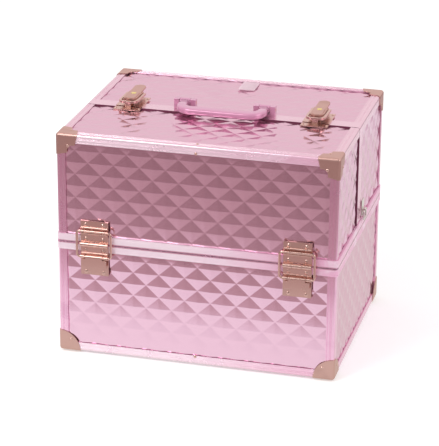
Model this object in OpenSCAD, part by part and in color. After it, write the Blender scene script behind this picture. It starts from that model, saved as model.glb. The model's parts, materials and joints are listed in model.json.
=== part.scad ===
// Makeup train case: a lower box and two upper halves that hinge apart to the front and
// to the rear, lifting four cantilever trays out of the middle.
// Origin: middle of the footprint, on the surface that the feet stand on.
// +X is to the user's right, +Y is to the rear and +Z is up.

/* [Case] */
// Width over the edge strips, left to right
case_w = 360; // [340:1:400]
// Depth over the edge strips, front to rear
case_d = 285; // [280:1:320]
// Height of the lower box, from its underside to the split
base_h = 150; // [130:1:180]
// Height of the upper halves, from the split to the top
lid_h = 142.4; // [140:0.2:170]
// Depth of the front half of the upper section
front_half_d = 123.5; // [121:0.5:127]
// Gap along the split between the lower box and the halves
split_gap = 0.8; // [0.5:0.1:1.5]
// Gap along the seam between the two halves
seam_gap = 1; // [0.6:0.1:2]

/* [Walls] */
// Thickness of the boards
board_t = 4; // [3:0.5:5]
// Thickness of the sheet lining inside
lining_t = 1; // [0.6:0.1:1.5]
// Depth of a board's flat face below the face of the edge strips
face_recess = 1.9; // [1.8:0.1:2.4]
// Height of the pressed pyramids
pyramid_h = 1.2; // [0.6:0.05:1.55]
// Width of one pyramid, corner to corner across
pyramid_w = 33.6; // [28:0.5:40]
// Height of one pyramid, corner to corner up the panel
pyramid_d = 31; // [26:0.2:36]
// Place of a valley point on the lower front panel, right of the left side
low_valley_x = 81.4; // [60:0.2:100]
// Its height above the underside
low_valley_z = 100.2; // [80:0.2:120]
// Place of a valley point on the upper front panel, right of the left side
high_valley_x = 56.8; // [40:0.2:80]
// Its depth below the top
high_valley_drop = 21; // [14:0.2:30]

/* [Edge strips] */
// Width of each leg of the corner strips
strip_w = 11.5; // [10.5:0.5:12.5]
// Thickness of the strips
strip_t = 1.6; // [1.4:0.1:1.8]
// Radius of the strips' outer corner
strip_r = 3; // [2.2:0.2:3.2]
// Radius of the fine grooves along the strips
groove_r = 0.4; // [0.3:0.05:0.6]
// Height of each rim band along the split
rim_h = 10; // [9:0.5:11]
// How far the rim bands stand proud of the strips
rim_flare = 1.2; // [0.8:0.1:1.6]
// Width of the strip along the seam, on the rear half
seam_strip_w = 20; // [18:0.5:22]

/* [Corner caps] */
// Reach of the caps from the corner
cap_reach = 27; // [24:1:32]
// Width of the arms of the upper caps
cap_arm = 14; // [12.5:0.5:16]
// How far the ends of those arms slant back
cap_slant = 3; // [1:0.5:5]
// Sheet thickness of the caps
cap_t = 1; // [0.8:0.1:1.4]

/* [Feet] */
// Height of the feet
foot_h = 3; // [2:0.5:5]
// Radius of the feet
foot_r = 8; // [6:0.5:10]
// Distance of the feet's centres from the sides
foot_inset = 40; // [36:1:60]

/* [Front latches] */
// Distance of each front latch from the middle
latch_x = 131; // [115:1:140]
// Width of the latch plates
latch_w = 36.4; // [33:0.2:38]
// Sheet thickness of the latches and hinges
sheet_t = 1.4; // [1.2:0.1:1.6]
// Reach of the latch's upper plate above the split
latch_up = 31; // [30:0.5:34]
// Reach of the latch's lower plate below the split
latch_down = 41.5; // [39:0.5:46]
// Diameter of the wire of the rings
wire_d = 3.2; // [2.6:0.2:3.4]
// Width of the ring, between the centres of its wires
bail_w = 44.6; // [43.4:0.2:48]
// Height of the ring, between the centres of its wires
bail_l = 34.5; // [32.5:0.5:35]
// Distance of the ring's lower bar below the split
bail_drop = 16.5; // [15:0.5:18]
// Length of the lever below its curl
lever_l = 13; // [10:0.5:16]
// Diameter of the rivet heads
rivet_d = 5; // [4:0.5:6]

/* [Hinges] */
// Outer diameter of the knuckles
knuckle_d = 6; // [5.6:0.2:6.6]
// Diameter of the hinge pins
hinge_pin_d = 2.4; // [2:0.2:3]
// Distance of the hinge axes in front of the rim bands
axis_out = 3.4; // [3.4:0.1:4]
// Distance of each rear hinge from the middle
rear_hinge_x = 115; // [100:1:130]
// Width of the rear hinges
rear_hinge_w = 45; // [36:1:50]
// Height of each leaf of the rear hinges
rear_leaf_h = 24; // [20:1:30]
// Radial clearance of the pins that turn
running_gap = 0.08; // [0.04:0.01:0.1]
// Gap between parts that pass each other
side_gap = 0.4; // [0.3:0.05:0.6]

/* [Top latches] */
// Distance of each top latch from the middle
top_latch_x = 123; // [110:1:130]
// Width of the top latches' plates over their ears
top_latch_w = 35; // [34:0.5:40]
// Depth of the strike plates, front to rear
strike_d = 12; // [11:0.5:16]
// Depth of the base plates
top_base_d = 40; // [36:0.5:44]
// Distance of the lever's axis behind the seam
lever_axis_y = 5; // [4.5:0.1:6]
// Height of the lever's axis above the top
lever_axis_h = 6; // [5.8:0.1:7]
// Distance from the lever's axis back to the loop's pin
loop_pin_y = 28; // [26:0.5:30]
// Length of the lever behind its axis, with its tongue
tongue_l = 54; // [48:1:58]
// Width of the lever
tongue_w = 18; // [17:0.1:18.6]
// Slope of the lever, rising to the rear
tongue_slope = 1; // [0.5:0.5:3]
// Distance of the hook loop's front bar in front of the lever's axis
loop_reach = 12; // [11.5:0.5:13.5]
// Width of the hook loop, between the middles of its bars
loop_w = 22.5; // [22.3:0.1:24]
// Width of the band that the loop is stamped from
loop_band = 3; // [2.4:0.1:3.2]
// Thickness of the loop
loop_t = 2.8; // [2.4:0.1:3]

/* [Handle] */
// Distance between the middles of the two handle brackets
bracket_span = 105; // [96:1:114]
// Gap between the two lugs of one bracket
lug_gap = 14.4; // [13:0.2:15.6]
// Width of one lug
lug_w = 7; // [6:0.5:9]
// Length of the lugs, front to rear
lug_l = 9; // [8:0.5:11]
// Height of the lugs
lug_h = 12; // [11:0.5:14]
// Height of the handle's axis above the top
handle_axis_h = 7.5; // [7:0.25:8.25]
// Diameter of the handle's pins
handle_pin_d = 5; // [4:0.5:5.5]
// Reach of the handle from its axis to the front of the grip
handle_reach = 38; // [36:1:46]
// Width of the grip
grip_w = 15.5; // [13:0.5:17]
// Thickness of the grip
grip_t = 9; // [8:0.5:10]

/* [Strap rings] */
// Height of the strap rings' axes above the split
strap_z = 22; // [18:1:30]
// Diameter of the strap rings' wire
strap_wire_d = 2.2; // [2:0.2:2.6]
// Width of the strap rings, between the centres of their wires
strap_ring_w = 14; // [13:1:20]

/* [Trays] */
// Height of the trays
tray_h = 38; // [30:1:40]
// Wall thickness of the trays
tray_t = 2; // [1.6:0.2:2.4]
// Reach of the arms to the lower trays
arm_low = 60; // [56:1:62]
// Reach of the arms to the upper trays
arm_high = 122; // [116:1:124]
// Lean of the arms past upright when closed
arm_lean = 20; // [16:1:24]
// Width of the arms
arm_w = 12; // [10:0.5:14]
// Thickness of the arms
arm_t = 1.6; // [1.4:0.1:2]
// Distance between the lead and the trail arm
arm_pitch = 36; // [32:1:40]
// Distance of the arms' lower pivots below the split
arm_pivot_drop = 16; // [14:1:18]
// Distance of the lead arms' lower pivots from the lining in front or behind
lead_pivot_in = 27.6; // [22:0.2:32]
// Diameter of the arms' rivets
arm_pin_d = 5; // [4:0.5:6]
// Gap between the trays and the middle plane of the case
tray_mid_gap = 3; // [2:0.5:5]
// Gap between the trays and the lining in front or behind
tray_end_gap = 5.5; // [5:0.5:8]
// Radial clearance of the trail arms' loose rivets in the trays
loose_gap = 0.3; // [0.2:0.05:0.4]

/* [Hidden] */

pink = [0.90, 0.66, 0.73];
strip_pink = [0.93, 0.72, 0.79];
copper = [0.76, 0.58, 0.52];
dark = [0.16, 0.15, 0.16];

// Overlap of shapes that are joined into one solid, and reach of cutters past a face
over = 0.05;
cut = 1;
// Depth to which a pressed pattern is rooted in its board
field_root = 0.2;
// Clearance between a board or a pattern and the strips round it
fit_gap = 0.3;
// Hairline gap where the ends of two strips meet
butt_gap = 0.1;
// Places of the fine grooves across a strip's leg, as shares of its width
groove_places = [0.42, 0.56, 0.85];
// Distance of the rim bands' groove from the split
rim_groove_in = 8.2;
// Distance from a corner of the case to the ends of its three strips, under the cap
strip_end = strip_w + butt_gap;
// Thickness of the web of the rim bands and the seam strip that closes the boards' edges
rim_web = 4;
seam_web = 1.6;

// Planes of the case
half_w = case_w / 2;
half_d = case_d / 2;
base_z = foot_h;
rim_z = base_z + base_h;
lid_z = rim_z + split_gap;
top_z = lid_z + lid_h;
split_z = (rim_z + lid_z) / 2;
seam_f = -half_d + front_half_d;
seam_r = seam_f + seam_gap;
wall_t = face_recess + board_t + lining_t;

board_in = face_recess + board_t;
rim_face = half_d + rim_flare;

// Hinge axes, in front of the front face and behind the rear face
axis_y = rim_face + axis_out;
knuckle_r = knuckle_d / 2;

// ---------- general shapes ----------

// A box from one corner to the opposite one
module span(a, b) {
  translate(a) cube(b - a);
}

// Rectangle with round corners, centred
module round_rect(w, d, r) {
  square([w - 2 * r, d], center = true);
  square([w, d - 2 * r], center = true);
  for (sx = [-1, 1], sy = [-1, 1])
    translate([sx * (w / 2 - r), sy * (d / 2 - r)]) circle(r, $fn = 48);
}

// L-shaped section of a corner strip: its outer corner is at the origin
module strip_section() {
  difference() {
    union() {
      translate([strip_r, 0]) square([strip_w - strip_r, strip_t]);
      translate([0, strip_r]) square([strip_t, strip_w - strip_r]);
      intersection() {
        translate([strip_r, strip_r]) circle(strip_r, $fn = 48);
        square(strip_r);
      }
    }
    for (a = groove_places) {
      translate([a * strip_w, 0]) circle(groove_r, $fn = 16);
      translate([0, a * strip_w]) circle(groove_r, $fn = 16);
    }
  }
}

// A corner strip along +Z with its corner on the Z axis and legs towards +X and +Y
module strip(len) {
  linear_extrude(len) strip_section();
}

// Strip along X on the edge where face Y = 0 meets face Z = 0
module strip_x(len) {
  multmatrix([[0, 0, 1, 0], [1, 0, 0, 0], [0, 1, 0, 0]]) strip(len);
}

// Strip along Y on the edge where face X = 0 meets face Z = 0
module strip_y(len) {
  multmatrix([[0, 1, 0, 0], [0, 0, 1, 0], [1, 0, 0, 0]]) strip(len);
}

// Rivet with a domed head, along +Z from the seat at Z = 0, with a shank below it
module rivet(head_d, head_h, shank_d, shank_l) {
  ball_r = (head_d * head_d / 4 + head_h * head_h) / (2 * head_h);
  intersection() {
    translate([0, 0, head_h - ball_r]) sphere(ball_r, $fn = 64);
    cylinder(h = 2 * head_h, d = head_d + cut, $fn = 32);
  }
  translate([0, 0, -shank_l]) cylinder(h = shank_l + over, d = shank_d, $fn = 32);
}

// Round bar between two points on a line along X
module bar_x(x1, x2, r) {
  translate([x1, 0, 0]) rotate([0, 90, 0]) cylinder(h = x2 - x1, r = r, $fn = 40);
}

// Closed rectangular ring of round wire in the XY plane, lower bar on the X axis
module wire_ring(w, l, r, bend) {
  for (y = [0, l]) translate([0, y, 0]) bar_x(-w / 2 + bend, w / 2 - bend, r);
  for (sx = [-1, 1])
    translate([sx * w / 2, bend, 0]) rotate([-90, 0, 0]) cylinder(h = l - 2 * bend, r = r, $fn = 40);
  for (c = [[1, 1, 0], [-1, 1, 90], [-1, 0, 180], [1, 0, 270]])
    translate([c[0] * (w / 2 - bend), c[1] == 1 ? l - bend : bend, 0])
      rotate([0, 0, c[2]]) rotate_extrude(angle = 90, $fn = 40) translate([bend, 0]) circle(r);
}

// ---------- embossed panels ----------

// Height of the pressed surface over one grid point: peaks and valleys alternate
function peak(i, j) = (i + j) % 2 == 0 ? 1 : 0;

// Pyramid field over nx by ny half-pyramids, on a flat back at Z = -depth
module pyramid_field(nx, ny, depth) {
  a = pyramid_w / 2;
  b = pyramid_d / 2;
  top = [for (j = [0:ny], i = [0:nx]) [i * a, j * b, pyramid_h * peak(i, j)]];
  low = [for (j = [0:ny], i = [0:nx]) [i * a, j * b, -depth]];
  n = len(top);
  row = nx + 1;
  faces_top = [for (j = [0:ny - 1], i = [0:nx - 1], half = [0, 1])
    let (p = j * row + i, q = p + 1, r = p + row + 1, s = p + row)
    peak(i, j) == 1 ? (half == 0 ? [p, s, q] : [q, s, r]) : (half == 0 ? [p, r, q] : [p, s, r])];
  faces_low = [[n, n + nx, n + nx + ny * row, n + ny * row]];
  side_f = [for (i = [0:nx]) i];
  side_b = [for (i = [nx:-1:0]) ny * row + i];
  side_l = [for (j = [ny:-1:0]) j * row];
  side_r = [for (j = [0:ny]) j * row + nx];
  walls = [
    concat([n + nx, n], side_f),
    concat([n + ny * row, n + nx + ny * row], side_b),
    concat([n, n + ny * row], side_l),
    concat([n + nx + ny * row, n + nx], side_r)
  ];
  polyhedron(points = concat(top, low), faces = concat(faces_top, faces_low, walls));
}

// A board w by h with its flat face at Z = 0 and pyramids standing on it inside a window.
// The window is given by its margins from the board's left, right, lower and upper sides,
// and the pattern by the place of one valley point, from the board's lower left corner.
module embossed_board(w, h, window, valley) {
  a = pyramid_w / 2;
  b = pyramid_d / 2;
  low = [window[0], window[2]];
  high = [w - window[1], h - window[3]];
  // The field starts on a peak, an odd count of half-pyramids to the left of the valley point
  start_x = valley[0] - (2 * ceil((valley[0] - low[0]) / pyramid_w) + 1) * a;
  start_y = valley[1] - 2 * ceil((valley[1] - low[1]) / pyramid_d) * b;
  nx = ceil((high[0] - start_x) / a);
  ny = ceil((high[1] - start_y) / b);
  translate([0, 0, -board_t]) cube([w, h, board_t]);
  intersection() {
    translate([start_x, start_y, 0]) pyramid_field(nx, ny, 2 * field_root);
    span([low[0], low[1], -field_root], [high[0], high[1], 2 * pyramid_h]);
  }
}

// Turn a board so that its face looks to the front, rear, left or right of the case
module facing_front() { rotate([90, 0, 0]) children(); }
module facing_rear() { rotate([90, 0, 180]) children(); }
module facing_right() { rotate([90, 0, 90]) children(); }
module facing_left() { rotate([90, 0, -90]) children(); }

// ---------- walls of the lower box and of the halves ----------

// Board for a front or rear wall, from the floor or split web up; its lower left corner
// is at the inner edge of the side board, so the margins are measured from there
side_margin = strip_w - board_in + fit_gap;
rim_margin = rim_h - rim_web + fit_gap;
wall_w = case_w - 2 * board_in;
base_wall_z = base_z + board_in;
base_wall_h = rim_z - rim_web - base_wall_z;
lid_wall_z = lid_z + rim_web;
lid_wall_h = top_z - board_in - lid_wall_z;
side_inset = strip_r + fit_gap;

// Front or rear board of the lower box
module base_wall(valley_x) {
  embossed_board(wall_w, base_wall_h, [side_margin, side_margin, side_margin, rim_margin],
    [valley_x - board_in, low_valley_z - board_in]);
}

// Front or rear board of the halves
module lid_wall(valley_x) {
  embossed_board(wall_w, lid_wall_h, [side_margin, side_margin, rim_margin, side_margin],
    [valley_x - board_in, lid_h - rim_web - high_valley_drop]);
}

// Side board of the lower box
module base_side() {
  w = case_d - 2 * side_inset;
  margin = strip_w - side_inset + fit_gap;
  embossed_board(w, base_wall_h, [margin, margin, side_margin, rim_margin],
    [w / 2, low_valley_z - board_in]);
}

// Side board of one half: its outer end is to the left and its seam end, of which the width
// hem lies under a strip, to the right
module lid_side(depth, hem) {
  w = depth - side_inset;
  outer = strip_w - side_inset + fit_gap;
  embossed_board(w, lid_wall_h, [outer, hem + fit_gap, rim_margin, side_margin],
    [w / 2, lid_h - rim_web - high_valley_drop]);
}

// Top board of one half: its outer edge is the lower one and its seam edge the upper one
module lid_top(depth, hem) {
  w = case_w - 2 * side_inset;
  h = depth - side_inset;
  margin = strip_w - side_inset + fit_gap;
  embossed_board(w, h, [margin, margin, margin, hem + fit_gap],
    [w / 2, h / 2]);
}

// Strips round the outside of a lower box or half: an upright one at each corner given,
// and the long ones along the edges at the height of the closed end
module upright_strip(sx, sy, z1, z2) {
  translate([sx * half_w, sy * half_d, z1])
    mirror([sx > 0 ? 1 : 0, 0, 0]) mirror([0, sy > 0 ? 1 : 0, 0]) strip(z2 - z1);
}
module long_strip(sy, z, up) {
  translate([-half_w + strip_end, sy * half_d, z])
    mirror([0, sy > 0 ? 1 : 0, 0]) mirror([0, 0, up ? 0 : 1]) strip_x(case_w - 2 * strip_end);
}
module short_strip(sx, y1, y2, z, up) {
  translate([sx * half_w, y1, z])
    mirror([sx > 0 ? 1 : 0, 0, 0]) mirror([0, 0, up ? 0 : 1]) strip_y(y2 - y1);
}

// Rim band of the lower box: a web over the boards' upper edges and a leg down outside
module rim_band() {
  difference() {
    translate([0, 0, -rim_h]) linear_extrude(rim_h)
      round_rect(case_w + 2 * rim_flare, case_d + 2 * rim_flare, strip_r + rim_flare);
    translate([0, 0, -rim_h - cut]) linear_extrude(rim_h + cut - rim_web)
      square([case_w - 2 * strip_t, case_d - 2 * strip_t], center = true);
    translate([0, 0, -rim_h - cut]) linear_extrude(rim_h + 2 * cut)
      square([case_w - 2 * wall_t, case_d - 2 * wall_t], center = true);
    translate([0, 0, -rim_groove_in]) linear_extrude(2 * groove_r) difference() {
      square([case_w + 4 * rim_flare, case_d + 4 * rim_flare], center = true);
      round_rect(case_w + 2 * rim_flare - groove_r, case_d + 2 * rim_flare - groove_r,
        strip_r + rim_flare);
    }
  }
}

// Rim band of one half: the same band turned over and cut at the seam
module lid_rim(y1, y2) {
  intersection() {
    translate([0, 0, lid_z]) mirror([0, 0, 1]) rim_band();
    span([-case_w, y1, lid_z - cut], [case_w, y2, top_z]);
  }
}

// Height of the halves above their rim bands
hoop_h = top_z - lid_z - rim_h;

// Opening of a hoop whose section is t thick, open at the foot, over its depth from y1 to y2
module hoop_hole(t, y1, y2) {
  span([-half_w + t, y1, -cut], [half_w - t, y2, hoop_h - t]);
}

// Bent strip along the open edge of the rear half, with a web in the seam plane
module seam_hoop() {
  translate([0, seam_r, lid_z + rim_h]) difference() {
    translate([0, seam_strip_w, 0]) rotate([90, 0, 0]) linear_extrude(seam_strip_w) {
      translate([-half_w, butt_gap]) square([case_w, hoop_h - strip_r - butt_gap]);
      translate([-half_w + strip_r, butt_gap]) square([case_w - 2 * strip_r, hoop_h - butt_gap]);
      for (sx = [-1, 1])
        translate([sx * (half_w - strip_r), hoop_h - strip_r]) circle(strip_r, $fn = 48);
    }
    hoop_hole(strip_t, seam_web, seam_strip_w + cut);
    hoop_hole(wall_t, -cut, seam_strip_w + cut);
  }
}

// ---------- corner caps ----------

// Solid corner with its point at o on all three axes, its three edges rounded to r
module corner_solid(o, r, size) {
  c = o + r;
  span([c, c, o], [size, size, size]);
  span([c, o, c], [size, size, size]);
  span([o, c, c], [size, size, size]);
  translate([c, c, c]) cylinder(h = size - c, r = r, $fn = 48);
  translate([c, c, c]) rotate([-90, 0, 0]) cylinder(h = size - c, r = r, $fn = 48);
  translate([c, c, c]) rotate([0, 90, 0]) cylinder(h = size - c, r = r, $fn = 48);
  translate([c, c, c]) sphere(r, $fn = 48);
}

// Outline of a cap on one face: two arms with a round inner corner, or a quarter disc
cap_fillet = 8;
module cap_outline(round_cap) {
  m = cap_t + cut;
  if (round_cap) {
    circle(cap_reach, $fn = 64);
  } else {
    end = cap_reach - cap_slant;
    polygon([[-m, -m], [cap_reach, -m], [cap_reach, 0], [end, cap_arm], [-m, cap_arm]]);
    polygon([[-m, -m], [cap_arm, -m], [cap_arm, end], [0, cap_reach], [-m, cap_reach]]);
    difference() {
      translate([cap_arm - over, cap_arm - over]) square(cap_fillet + over);
      translate([cap_arm + cap_fillet, cap_arm + cap_fillet]) circle(cap_fillet, $fn = 48);
    }
  }
}

// Place of a cap's rivet along each of the two edges of a face
cap_rivet_off = 1;
cap_rivet = cap_arm + cap_rivet_off;
cap_rivet_d = 4;
cap_rivet_h = 1;
shank_d = 2.4;

// Turn the XY face of a corner onto the face square to X, Y or Z
module on_corner_face(axis) {
  if (axis == 0) multmatrix([[0, 0, 1, 0], [1, 0, 0, 0], [0, 1, 0, 0]]) children();
  if (axis == 1) multmatrix([[0, 1, 0, 0], [0, 0, 1, 0], [1, 0, 0, 0]]) children();
  if (axis == 2) children();
}

// Cap over a corner at the origin, with the case towards +X, +Y and +Z
module corner_cap(round_cap) {
  difference() {
    intersection() {
      corner_solid(-cap_t, strip_r + cap_t, cap_reach);
      union() for (axis = [0:2]) on_corner_face(axis)
        translate([0, 0, -cap_t - cut])
          linear_extrude(strip_r + cap_t + cut) cap_outline(round_cap);
    }
    corner_solid(0, strip_r, cap_reach + cut);
    for (axis = [0:2]) on_corner_face(axis)
      translate([cap_rivet, cap_rivet, -cap_t - cut])
        cylinder(h = cap_t + 2 * cut, d = shank_d, $fn = 24);
  }
}

// The cap's three rivets
module cap_rivets() {
  for (axis = [0:2]) on_corner_face(axis)
    translate([cap_rivet, cap_rivet, -cap_t]) mirror([0, 0, 1])
      rivet(cap_rivet_d, cap_rivet_h, shank_d, cap_t);
}

// Bring a corner at the origin to a corner of the case
module at_corner(sx, sy, z, up) {
  translate([sx * half_w, sy * half_d, z])
    mirror([sx > 0 ? 1 : 0, 0, 0]) mirror([0, sy > 0 ? 1 : 0, 0])
      mirror([0, 0, up ? 0 : 1]) children();
}

// ---------- lower box ----------

module base_front_panel() {
  color(pink) translate([-half_w + board_in, -half_d + face_recess, base_wall_z])
    facing_front() base_wall(low_valley_x);
}
module base_rear_panel() {
  color(pink) translate([half_w - board_in, half_d - face_recess, base_wall_z])
    facing_rear() base_wall(half_w);
}
module base_right_panel() {
  color(pink) translate([half_w - face_recess, -half_d + side_inset, base_wall_z])
    facing_right() base_side();
}
module base_left_panel() {
  color(pink) translate([-half_w + face_recess, half_d - side_inset, base_wall_z])
    facing_left() base_side();
}
module base_floor_panel() {
  color(pink) span([-half_w + side_inset, -half_d + side_inset, base_z + face_recess],
    [half_w - side_inset, half_d - side_inset, base_z + board_in]);
}

module base_edge_strips() {
  color(strip_pink) {
    for (sx = [-1, 1], sy = [-1, 1])
      upright_strip(sx, sy, base_z + strip_end, rim_z - rim_h - butt_gap);
    for (sy = [-1, 1]) long_strip(sy, base_z, true);
    for (sx = [-1, 1])
      short_strip(sx, -half_d + strip_end, half_d - strip_end, base_z, true);
  }
}

module base_rim() {
  color(strip_pink) translate([0, 0, rim_z]) rim_band();
}

module base_corner_caps() {
  color(copper) for (sx = [-1, 1], sy = [-1, 1]) at_corner(sx, sy, base_z, true) corner_cap(true);
}

// A rivet head on the middle of a strip, by its distance from the edge of the case
strip_rivet_d = 4;
strip_rivet_in = 10.1;
top_rivet_in = 8;
module strip_rivet() {
  rivet(strip_rivet_d, cap_rivet_h, shank_d, 0);
}

module base_rivets() {
  color(copper) {
    for (sx = [-1, 1], sy = [-1, 1]) at_corner(sx, sy, base_z, true) cap_rivets();
    for (sy = [-1, 1]) translate([0, sy * half_d, base_z + strip_rivet_in])
      rotate([-sy * 90, 0, 0]) strip_rivet();
    for (sx = [-1, 1]) translate([sx * latch_x, 0, 0]) {
      latch_rivet_row(-low_row_drop);
      latch_rivet_row(-foot_row_drop);
    }
    for (sx = [-1, 1]) translate([sx * rear_hinge_x, 0, 0]) rear_leaf_rivets(-1);
  }
}

// Round rubber feet under the floor, through to the floor board
module feet() {
  color(dark) for (sx = [-1, 1], sy = [-1, 1])
    translate([sx * (half_w - foot_inset), sy * (half_d - foot_inset), 0])
      cylinder(h = base_z + face_recess, r = foot_r, $fn = 48);
}

// Lining: a thin tray against the boards, open at the top
module base_lining() {
  x = half_w - board_in;
  y = half_d - board_in;
  color(dark) difference() {
    span([-x, -y, base_wall_z], [x, y, rim_z - rim_web]);
    span([-x + lining_t, -y + lining_t, base_wall_z + lining_t],
      [x - lining_t, y - lining_t, rim_z + cut]);
  }
}

// ---------- front latches ----------
// Each latch is drawn in its own frame: X across, Y outward from the rim face, Z up from
// the split. The leaf on the half carries two fingers and the leaf on the box one, on a
// common pin. The ring's lower bar turns in two ears, with the lever's curl between them.

finger_w = (latch_w - 2 * side_gap) / 3;
low_row_drop = 8;
foot_row_in = 4;
foot_row_drop = latch_down - foot_row_in;
near_row_up = 7;
row_pitch = 22.5;
latch_rivet_h = 1.1;
bail_r = wire_d / 2;
bail_up = bail_l - bail_drop;
bail_bend = 4;
curl_t = 0.8;
ear_r = bail_r + running_gap + curl_t;
bail_axis_y = sheet_t + ear_r + side_gap;
ear_w = 6;
ear_gap = 1;
curl_w = latch_w - 2 * (ear_w + ear_gap);
lever_inset = 1.5;
// Ribs rolled into the leaves: two that guide the ring's upper bar, and one below the rivets
rib_r = 1.5;
low_rib_r = 1.05;
rib_inset = 1;
rib_gap = 0.6;
rib_rivet_gap = 0.4;
low_rib_gap = 1.8;
high_row_up = bail_up + bail_r + rib_gap + 2 * rib_r + rib_rivet_gap + rivet_d / 2;

// Latch frame on the front: +Y of the latch points to the front
module at_front_latch(sx) {
  translate([sx * latch_x, -rim_face, split_z]) rotate([0, 0, 180]) children();
}

// Rivets of one row of a front latch, by its height from the split
module latch_rivet_row(z) {
  for (x = [-row_pitch / 2, row_pitch / 2])
    translate([x, -rim_face - sheet_t, split_z + z]) rotate([90, 0, 0])
      rivet(rivet_d, latch_rivet_h, shank_d, sheet_t);
}

// Holes for one row of rivets through a leaf
module row_holes(z) {
  for (x = [-row_pitch / 2, row_pitch / 2])
    translate([x, -cut, z]) rotate([-90, 0, 0])
      cylinder(h = sheet_t + 2 * cut, d = shank_d, $fn = 24);
}

// Knuckle finger from x1 to x2, joined to a leaf that lies above or below (side = 1 or -1).
// Its web stays on the leaf's side of the split, so that it clears the other rim as it turns.
finger_web = knuckle_r / 2;
module finger(x1, x2, side) {
  reach = knuckle_r + side_gap + over;
  difference() {
    union() {
      translate([0, axis_out, 0]) bar_x(x1, x2, knuckle_r);
      span([x1, 0, side > 0 ? 0 : -reach], [x2, sheet_t, side > 0 ? reach : 0]);
      span([x1, over, side > 0 ? 0 : -finger_web], [x2, axis_out, side > 0 ? finger_web : 0]);
    }
    translate([0, axis_out, 0])
      bar_x(x1 - cut, x2 + cut, hinge_pin_d / 2 + (side > 0 ? running_gap : 0));
  }
}

// Leaf from z1 to z2, with its far edge turned in to the strip and seated in it
turn_seat = 0.2;
module leaf(w, z1, z2, turn_z) {
  span([-w / 2, 0, z1], [w / 2, sheet_t, z2]);
  turn = rim_flare + turn_seat;
  span([-w / 2, -turn, turn_z - sheet_t / 2], [w / 2, over, turn_z + sheet_t / 2]);
}

module front_latch_base_plate() {
  near = -knuckle_r - side_gap;
  rib_half = latch_w / 2 - rib_inset;
  difference() {
    union() {
      leaf(latch_w, -latch_down, near, -latch_down + sheet_t / 2);
      finger(-finger_w / 2, finger_w / 2, -1);
      translate([0, sheet_t - over, -low_row_drop - rivet_d / 2 - low_rib_gap])
        bar_x(-rib_half, rib_half, low_rib_r);
      for (sx = [-1, 1]) {
        x1 = sx > 0 ? latch_w / 2 - ear_w : -latch_w / 2;
        translate([0, bail_axis_y, -bail_drop]) bar_x(x1, x1 + ear_w, ear_r);
        span([x1, sheet_t - over, -bail_drop - ear_r], [x1 + ear_w, bail_axis_y, -bail_drop + ear_r]);
      }
    }
    translate([0, bail_axis_y, -bail_drop]) bar_x(-latch_w, latch_w, bail_r + running_gap);
    row_holes(-low_row_drop);
    row_holes(-foot_row_drop);
  }
}
module front_latch_base_plates() {
  color(copper) for (sx = [-1, 1]) at_front_latch(sx) front_latch_base_plate();
}

// The leaf on the half, with the rib that the ring's upper bar bears on
module front_latch_lid_plate() {
  near = knuckle_r + side_gap;
  rib_half = latch_w / 2 - rib_inset;
  difference() {
    union() {
      leaf(latch_w, near, latch_up, latch_up - sheet_t / 2);
      for (sx = [-1, 1]) {
        x1 = sx > 0 ? finger_w / 2 + side_gap : -latch_w / 2;
        finger(x1, x1 + latch_w / 2 - finger_w / 2 - side_gap, 1);
      }
      for (k = [-1, 1]) translate([0, sheet_t, bail_up + k * (bail_r + rib_gap + rib_r)])
        bar_x(-rib_half, rib_half, rib_r);
    }
    row_holes(near_row_up);
    row_holes(high_row_up);
    span([-latch_w, -2 * rib_r, near], [latch_w, 0, latch_up - 2 * sheet_t]);
  }
}
module front_latch_lid_plates() {
  color(copper) for (sx = [-1, 1]) at_front_latch(sx) front_latch_lid_plate();
}

// Pins of the front latches and of the rear hinges
module hinge_pins() {
  color(copper) {
    for (sx = [-1, 1]) {
      translate([sx * latch_x, -axis_y, split_z]) bar_x(-latch_w / 2, latch_w / 2, hinge_pin_d / 2);
      translate([sx * rear_hinge_x, axis_y, split_z])
        bar_x(-rear_hinge_w / 2, rear_hinge_w / 2, hinge_pin_d / 2);
    }
  }
}

// Lever: a curl round the ring's lower bar and a plate that hangs in front of the leaf
module front_latch_lever() {
  out = bail_axis_y + ear_r;
  difference() {
    union() {
      translate([0, bail_axis_y, -bail_drop]) bar_x(-curl_w / 2, curl_w / 2, ear_r);
      span([-curl_w / 2, out - sheet_t, -bail_drop - ear_r - side_gap - over],
        [curl_w / 2, out, -bail_drop]);
      span([-latch_w / 2 + lever_inset, out - sheet_t, -bail_drop - lever_l],
        [latch_w / 2 - lever_inset, out, -bail_drop - ear_r - side_gap]);
    }
    translate([0, bail_axis_y, -bail_drop]) bar_x(-latch_w, latch_w, bail_r + running_gap);
  }
}
module front_latch_lever_left() { color(copper) at_front_latch(-1) front_latch_lever(); }
module front_latch_lever_right() { color(copper) at_front_latch(1) front_latch_lever(); }

module front_latch_ring() {
  translate([0, bail_axis_y, -bail_drop]) rotate([90, 0, 0])
    wire_ring(bail_w, bail_l, bail_r, bail_bend);
}
module front_latch_ring_left() { color(copper) at_front_latch(-1) front_latch_ring(); }
module front_latch_ring_right() { color(copper) at_front_latch(1) front_latch_ring(); }

// ---------- rear hinges ----------

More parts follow.
